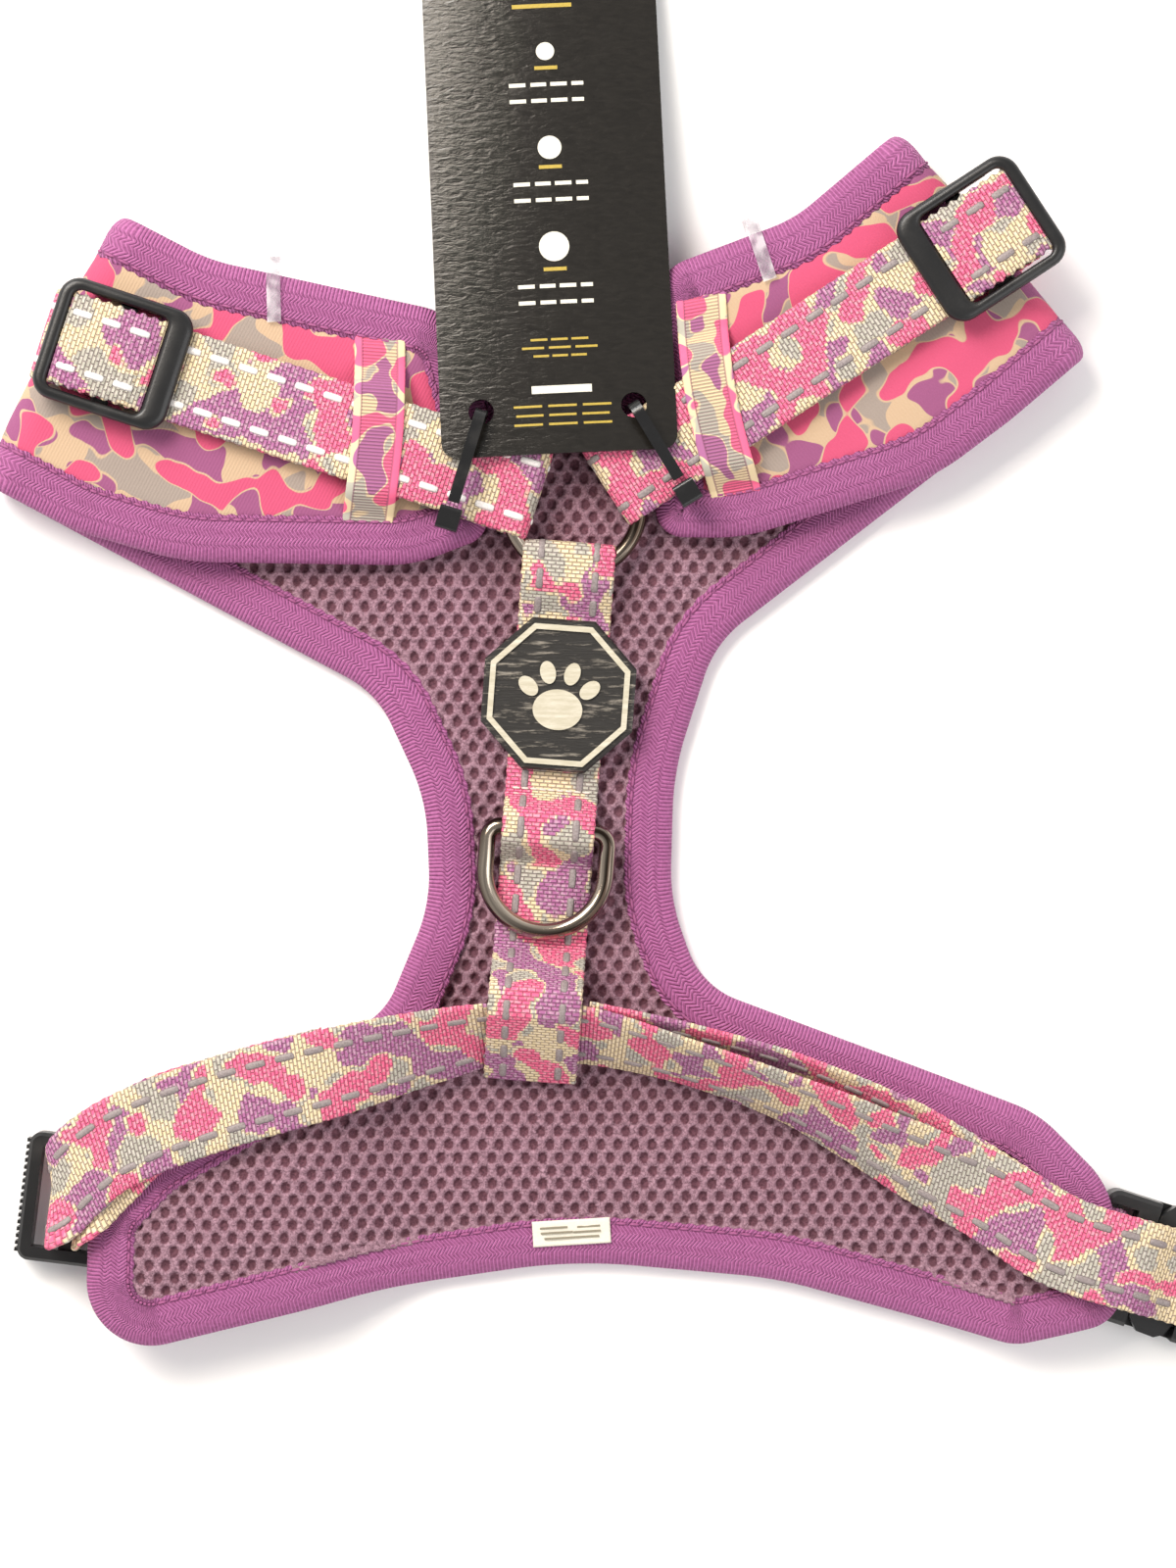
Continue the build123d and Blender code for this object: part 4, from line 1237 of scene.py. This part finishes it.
def make_keeper(side):
    """Elastic band across the wing, over the neck strap."""
    wing = wing_plane(side)
    top, low = [np.array(in_wing(side, *spot)) for spot in KEEPER[side]]
    length = np.linalg.norm(low - top)
    along = (low - top) / length
    direction = wing.x * along[0] + wing.y * along[1]
    origin = wing.out(top[0], top[1], FOLD_RADIUS)
    plane = Plane(origin, direction, np.cross(direction, wing.z))
    strap = strap_plane(side)
    start = plane.into(strap.origin)
    ahead = plane.into(strap.origin + strap.x)
    slope = (ahead[0] - start[0]) / (ahead[2] - start[2])
    middle = start[0] - slope * start[2]
    reach = WEBBING / 2 + abs(slope) * 5.0
    high = TOP_HEIGHT + HALF_THICK + 0.55
    points = [
        (-1.2, -0.7), (1.4, 0.25), (middle - reach - 5.0, 0.55), (middle - reach, high),
        (middle + reach, high), (length - 0.8, 0.2), (length + 1.4, -0.7),
    ]
    line = rounded(points, [2, 3, 4, 4, 2], 0.6)
    spots = plane.out(line[:, 0], line[:, 1])
    bow = KEEPER_BOW[side] * np.sin(np.pi * np.clip(line[:, 0] / length, 0, 1))
    spots = spots + plane.z * bow[:, None]
    across = np.tile(plane.z, (len(spots), 1))
    make_strap(
        f"keeper_band_{side}", spots, across, "harness", [f"keeper_{side}"],
        ELASTIC_PROFILE, "elastic", (0.006, 1.5), ())


def make_spine():
    """Doubled strap: round ring, badge seat, D-ring hump and girth loop."""
    plane = spine_plane()
    ring_x = plane.into(RING_CENTRE)[0]
    wire_x = ring_x - RING_RADIUS * math.cos(RING_TILT)
    wire_y = RING_CENTRE[2] - RING_RADIUS * math.sin(RING_TILT)
    fold_x = wire_x + WRAP + LOOP_SLACK
    bar_x, bar_y = D_BAR
    top = bar_y + 2.8
    points = [
        (20.0, LAYER_ONE), (wire_x, wire_y - WRAP - 0.1), (fold_x, wire_y - WRAP),
        (fold_x, wire_y + WRAP), (wire_x - 2.0, wire_y + WRAP), (wire_x - 8.5, LAYER_TWO),
        (bar_x + 7.0, LAYER_TWO), (bar_x + 2.7, top), (bar_x - 2.7, top),
        (bar_x - 7.0, LAYER_TWO), (-19.0, LAYER_TWO), (-27.2, 24.5), (-32.3, 24.5),
        (-47.0, 8.4), (-47.0, LAYER_ONE), (18.5, LAYER_ONE),
    ]
    radii = [3, WRAP - 0.6, WRAP - 0.6, 3, 3, 2.5, 2.5, 2.5, 2.5, 5, 1.8, 1.8, 1.2, 1.0]
    spots, across = strap_in_plane(plane, points, radii)
    for piece in make_strap("spine_webbing", spots, across, None, replaces=["spine_strap"]):
        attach(piece, "harness")
    for index, at in enumerate((58.6, 14.6, 0.4)):
        row = plane.out(at, LAYER_TWO + 0.75, np.linspace(-8.6, 8.6, 30))
        up = np.tile(UP, (30, 1))
        make_stitches(
            f"spine_seam_{index}", row, up, [(0.0, 0.1), (plane.x * 1.3, 0.1)], 1.9, 1.6, 0.28,
            "pale_thread")


GIRTH = [
    (-95.5, -61.5, 0, 0.0), (-86.5, -57.0, 2, 0.0), (-69.2, -51.0, 4, 0.0),
    (-47.7, -45.2, 12, 0.2), (-26.2, -39.8, 34, 0.8), (-13.3, -37.0, 46, 0.3),
    (-3.5, -36.6, 48, 0.1), (8.2, -37.2, 50, 0.3), (29.7, -42.8, 58, 0.4),
    (51.2, -50.5, 55, 0.2), (61.5, -55.3, 47, 0.2), (72.7, -61.1, 38, 0.2),
    (83.4, -66.7, 26, 0.2), (95.0, -72.3, 8, 1.2),
]
GIRTH_SPLIT = 6
LEFT_TAIL = slice(1, 4)
RIGHT_TAIL = slice(-2, 6, -1)
LEFT_END = [((-102.5, -67.2, 17.6), (-100.2, -70.0, 15.9), (-94.5, -64.0, 16.3)), (-0.1, 0.995, 0.0)]
TAIL_SPACE = 1.6
STRAP_LIFT = 1.0


def girth_station(x, y, tilt, extra, drop):
    angle = math.radians(tilt)
    across = np.array((0.0, math.cos(angle), math.sin(angle)))
    normal = np.array((0.0, -math.sin(angle), math.cos(angle)))
    rise = WEBBING / 2 * math.sin(angle) + (TAIL_SPACE + HALF_THICK) * math.cos(angle)
    height = float(underside(x, y)) + PANEL + STRAP_LIFT + extra + rise
    return np.array((x, y, height)) - normal * drop, across


def ladder_wrap(side, outer, inner):
    plane = buckle_plane(side)
    across = np.array((-plane.x[1], plane.x[0], 0.0))
    across = across if across[1] > 0 else -across
    wrap = []
    for angle in (10, -25, -60, -90, -120, -155, 170):
        turn = math.radians(angle)
        wrap.append((LADDER_BAR + 3.1 * math.cos(turn), BUCKLE_MID + 2.9 * math.sin(turn)))
    return [(plane.out(x, z), across) for x, z in outer + wrap + inner]


def smooth_path(stations, step=0.7):
    """Evenly spaced spots and width directions on a smooth curve through stations."""
    spots = np.array([s[0] for s in stations])
    across = np.array([s[1] for s in stations])
    reach = np.sqrt(np.linalg.norm(np.diff(spots, axis=0), axis=1))
    knots = np.concatenate(([0], np.cumsum(reach)))
    both = np.hstack((spots, across))
    slopes = np.gradient(both, knots, axis=0)
    line = []
    for i in range(len(spots) - 1):
        gap = knots[i + 1] - knots[i]
        length = np.linalg.norm(spots[i + 1] - spots[i])
        count = max(int(length / step), 2)
        for t in np.linspace(0, 1, count, endpoint=False):
            h00 = 2 * t ** 3 - 3 * t ** 2 + 1
            h10 = t ** 3 - 2 * t ** 2 + t
            h01 = 3 * t ** 2 - 2 * t ** 3
            h11 = t ** 3 - t ** 2
            spot = h00 * both[i] + h10 * gap * slopes[i]
            line.append(spot + h01 * both[i + 1] + h11 * gap * slopes[i + 1])
    line.append(both[-1])
    line = np.array(line)
    spots = line[:, :3]
    across = line[:, 3:]
    tangent = tangents(spots)
    across = across - tangent * (across * tangent).sum(1, keepdims=True) * 0.6
    return spots, normalized(across)


def tail_shift(x):
    """How far the right tail shows past the strap's upper edge."""
    return 3.4 * float(smooth((x - 10) / 36) * smooth((98 - x) / 22))


def make_girth():
    """Girth strap in two pieces that meet under the spine strap's loop."""
    over, *back = [(np.array(spot), np.array(LEFT_END[1])) for spot in LEFT_END[0]]
    left_wrap = ladder_wrap("left", [(46.2, 15.0), (47.0, 10.0)], [(40.6, 8.5), (40.9, 12.6)])
    right_end = ladder_wrap(
        "right",
        [(-8.0, 17.2), (10.3, 16.9), (16.2, 13.2), (20.0, 11.4), (40.0, 11.2), (46.2, 10.2),
         (47.0, 7.4)],
        [(40.0, 7.0), (37.0, 9.5), (18.5, 9.7), (14.8, 11.4), (10.0, 15.2), (-8.0, 15.5)])
    middle = [girth_station(*station, 0.0) for station in GIRTH]
    left_tail = [girth_station(*station, TAIL_SPACE) for station in GIRTH[LEFT_TAIL]]
    right_tail = [
        (spot + (0, tail_shift(spot[0]), 0), across)
        for spot, across in (girth_station(*station, TAIL_SPACE) for station in GIRTH[RIGHT_TAIL])
    ]
    runs = {
        "left": middle[:GIRTH_SPLIT + 1][::-1] + [over] + left_wrap + back + left_tail,
        "right": middle[GIRTH_SPLIT:] + right_end + right_tail,
    }
    for side, stations in runs.items():
        spots, across = smooth_path(stations)
        for piece in make_strap(
                f"girth_webbing_{side}", spots, across, None, replaces=["girth_strap"]):
            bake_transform(piece)


def make_anchor(side):
    plane = buckle_plane(side)
    bar_x, loop = 1.5, 2.8
    if side == "left":
        points = [
            (20.0, 9.05), (bar_x - loop - 0.6, 9.05), (bar_x - loop - 0.6, BUCKLE_MID - loop),
            (bar_x + loop + 0.6, BUCKLE_MID - loop), (bar_x + loop + 0.6, 7.8),
        ]
        radii = [1.8, 1.8, 1.4]
    else:
        points = [
            (-54.0, 0.8), (bar_x + loop + 0.6, 0.8), (bar_x + loop + 0.6, BUCKLE_MID + loop),
            (bar_x - loop, BUCKLE_MID + loop), (-12.0, 2.4), (-24.0, 2.4),
        ]
        radii = [1.4, 1.8, 2.4, 3.0]
    spots, across = strap_in_plane(plane, points, radii)
    dashes = make_strap(
        f"anchor_webbing_{side}", spots, across, "harness", replaces=[f"anchor_{side}"])[1]
    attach(dashes, "harness")


# ---------------------------------------------------------------- rings, tag, label
def make_wire(name, spots, radius, body, sides=20):
    """A closed nickel wire along a loop of spots."""
    centre = spots.mean(0)
    tangent = normalized(np.roll(spots, -1, 0) - np.roll(spots, 1, 0))
    side = normalized(spots - centre - ((spots - centre) * tangent).sum(1, keepdims=True) * tangent)
    normal = np.cross(tangent, side)
    profile = [
        (radius * math.cos(2 * math.pi * k / sides), radius * math.sin(2 * math.pi * k / sides))
        for k in range(sides)
    ]
    points, faces, pattern = sweep(profile, spots, side, normal, closed=True)
    new_piece(name, points * MM, faces, "nickel", body, [body], pattern * MM)


def make_rings():
    plane = ring_plane()
    turns = np.linspace(0, 2 * math.pi, 96, endpoint=False)
    circle = plane.out(np.cos(turns) * RING_RADIUS, np.sin(turns) * RING_RADIUS)
    make_wire("neck_ring_wire", circle, RING_WIRE, "neck_ring")
    spine = spine_plane()
    bar = spine.out(*D_BAR)
    across = unit(SPINE_TURN - 90)
    straight = D_LENGTH - D_HALF_WIDTH
    line = rounded([(0, 0), (D_HALF_WIDTH, 0), (D_HALF_WIDTH, -straight)], [3.0], 0.8)
    turns = np.linspace(0, math.pi, 40)[1:-1]
    bow = np.column_stack((np.cos(turns), -np.sin(turns))) * D_HALF_WIDTH - (0, straight)
    mirror = line[::-1] * (-1, 1)
    outline = np.concatenate((line, bow, mirror[:-1]))
    spots = bar + across * outline[:, :1] + spine.x * outline[:, 1:]
    make_wire("leash_ring_wire", spots, D_WIRE, "leash_ring")


def tag_plane():
    along = unit(TAG_TURN)
    ahead = np.cross(UP, along) * math.cos(TAG_SLOPE) - UP * math.sin(TAG_SLOPE)
    return Plane(TAG_FOOT, along, np.cross(along, ahead))


def flat_shape(outline, plane, low, high):
    """A thin plate from a 2-D outline."""
    count = len(outline)
    points = [plane.out(x, y, low) for x, y in outline] + [plane.out(x, y, high) for x, y in outline]
    faces = [tuple(range(count))[::-1], tuple(range(count, 2 * count))]
    for k in range(count):
        m = (k + 1) % count
        faces.append((k, m, count + m, count + k))
    return points, faces


def bar_outline(x, y, width, height):
    return [(x - width / 2, y - height / 2), (x + width / 2, y - height / 2),
            (x + width / 2, y + height / 2), (x - width / 2, y + height / 2)]


def disc_outline(x, y, radius, sides=24):
    turns = [2 * math.pi * k / sides for k in range(sides)]
    return [(x + radius * math.cos(t), y + radius * math.sin(t)) for t in turns]


def make_prints(name, outlines, plane, level, lift, material):
    """Thin raised shapes on a surface, as one piece."""
    points = []
    faces = []
    for outline in outlines:
        add_shape(points, faces, *flat_shape(outline, plane, level, level + lift))
    return new_piece(name, np.array(points) * MM, faces, material, None, smooth=False)


def bend_card(piece):
    """Slices a flat piece of the tag lengthways and bows it gently across its width."""
    plane = tag_plane()
    shape = bmesh.new()
    shape.from_mesh(piece.data)
    for x in np.arange(-24, 25, 2.0):
        everything = list(shape.verts) + list(shape.edges) + list(shape.faces)
        spot = plane.out(np.array(x), np.array(0.0)) * MM
        bmesh.ops.bisect_plane(shape, geom=everything, plane_co=spot, plane_no=plane.x, dist=1e-7)
    for vertex in shape.verts:
        x = plane.into(np.array(vertex.co) / MM)[0]
        vertex.co -= Vector(plane.z * TAG_BOW * (x / TAG_HALF_WIDTH) ** 2 * MM)
    shape.to_mesh(piece.data)
    shape.free()


def make_tag():
    """The hanging card, cut from the CAD part and bowed, with its holes kept."""
    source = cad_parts["hang_tag"]
    mesh = source.data.copy()
    mesh.transform(source.matrix_world)
    mesh.materials.clear()
    mesh.materials.append(MATERIALS["card"])
    piece = bpy.data.objects.new("tag_card", mesh)
    bpy.context.scene.collection.objects.link(piece)
    bend_card(piece)
    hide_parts("hang_tag")
    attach(piece, "hang_tag")


def make_tag_prints():
    """Plain bars and dots in place of the card's lettering and pictures."""
    plane = tag_plane()
    white = [
        bar_outline(0.5, 116, 22, 3.4), bar_outline(0.5, 109.4, 25, 5.6),
        bar_outline(1.0, 14.0, 13, 1.7),
    ]
    gold = [bar_outline(0.5, 102.5, 16, 0.9), bar_outline(0.5, 99.2, 13, 0.9)]
    words = ((-6.2, 3.6), (-1.6, 3.4), (2.8, 3.6), (6.9, 2.6))
    for level, size in ((89.0, 2.0), (67.5, 2.6), (45.5, 3.3)):
        white.append(disc_outline(0.8, level, size))
        gold.append(bar_outline(0.8, level - size - 1.7, 5.0, 0.8))
        for row in (5.4, 9.0):
            white += [bar_outline(x + 0.6, level - size - row, width, 0.85) for x, width in words]
    for row, width in ((25.0, 13), (23.2, 17), (21.4, 12), (10.4, 22), (8.4, 21), (6.4, 22)):
        gold += [bar_outline(1.0 + width * k, row, width * 0.28, 0.5) for k in (-0.34, 0.0, 0.34)]
    for name, bars, material in (("white", white, "ink"), ("gold", gold, "gold")):
        piece = make_prints(f"tag_print_{name}", bars, plane, TAG_THICK, 0.05, material)
        bend_card(piece)
        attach(piece, "hang_tag")


def make_label():
    """Small satin care label sewn in at the lower edge, with plain bars for print."""
    plane = Plane(LABEL_FOOT, unit(LABEL_TURN), UP)
    us = np.linspace(-LABEL_HALF[0], LABEL_HALF[0], 34)
    vs = np.linspace(-LABEL_HALF[1], LABEL_HALF[1], 12)
    u, v = np.meshgrid(us, vs, indexing="ij")
    curl = 0.35 * smooth((v + 1.0) / 3.8) + 0.08 * np.sin(u / 2.1)
    top = plane.out(u, v, 0.35 + curl) * MM
    bottom = plane.out(u, v, 0.05 + curl) * MM
    points, faces = closed_grid(np.ones_like(u, bool), top, bottom)[:2]
    new_piece(
        "care_label_cloth", points, faces.tolist(), "label", "harness", ["care_label"])
    lines = ((-3.8, 1.2, 6), (-3.2, 0.1, 7), (3.8, 1.1, 5), (3.4, 0.0, 6), (0, -1.1, 12))
    bars = [bar_outline(x, y, width, 0.45) for x, y, width in lines]
    bars_piece = make_prints("care_label_print", bars, plane, 0.62, 0.03, "ink_grey")
    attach(bars_piece, "harness")


def dress_cad_nodes():
    """Better materials for the CAD nodes whose shape is right."""
    wanted = {"badge_base": "rubber", "badge_relief": "cream"}
    for side in FOLDS:
        wanted[f"tag_tie_{side}"] = "tie"
        wanted[f"clear_loop_{side}"] = "film"
        wanted[f"buckle_female_{side}"] = "plastic"
        wanted[f"buckle_male_{side}"] = "plastic"
        for which in ("upper", "lower"):
            wanted[f"buckle_arm_{which}_{side}"] = "plastic"
    for name, material in wanted.items():
        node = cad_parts[name]
        if not node.material_slots:
            node.data.materials.append(None)
        for slot in node.material_slots:
            slot.material = MATERIALS[material]


make_camera()
make_studio()
make_materials()
make_lining()
make_underside()
make_binding()
for side in FOLDS:
    make_wing(side)
    make_neck_strap(side)
    make_neck_tail(side)
    make_slider(side)
    make_slider_loop(side)
    make_keeper(side)
    make_anchor(side)
make_spine()
make_girth()
make_rings()
make_tag()
make_tag_prints()
make_label()
dress_cad_nodes()
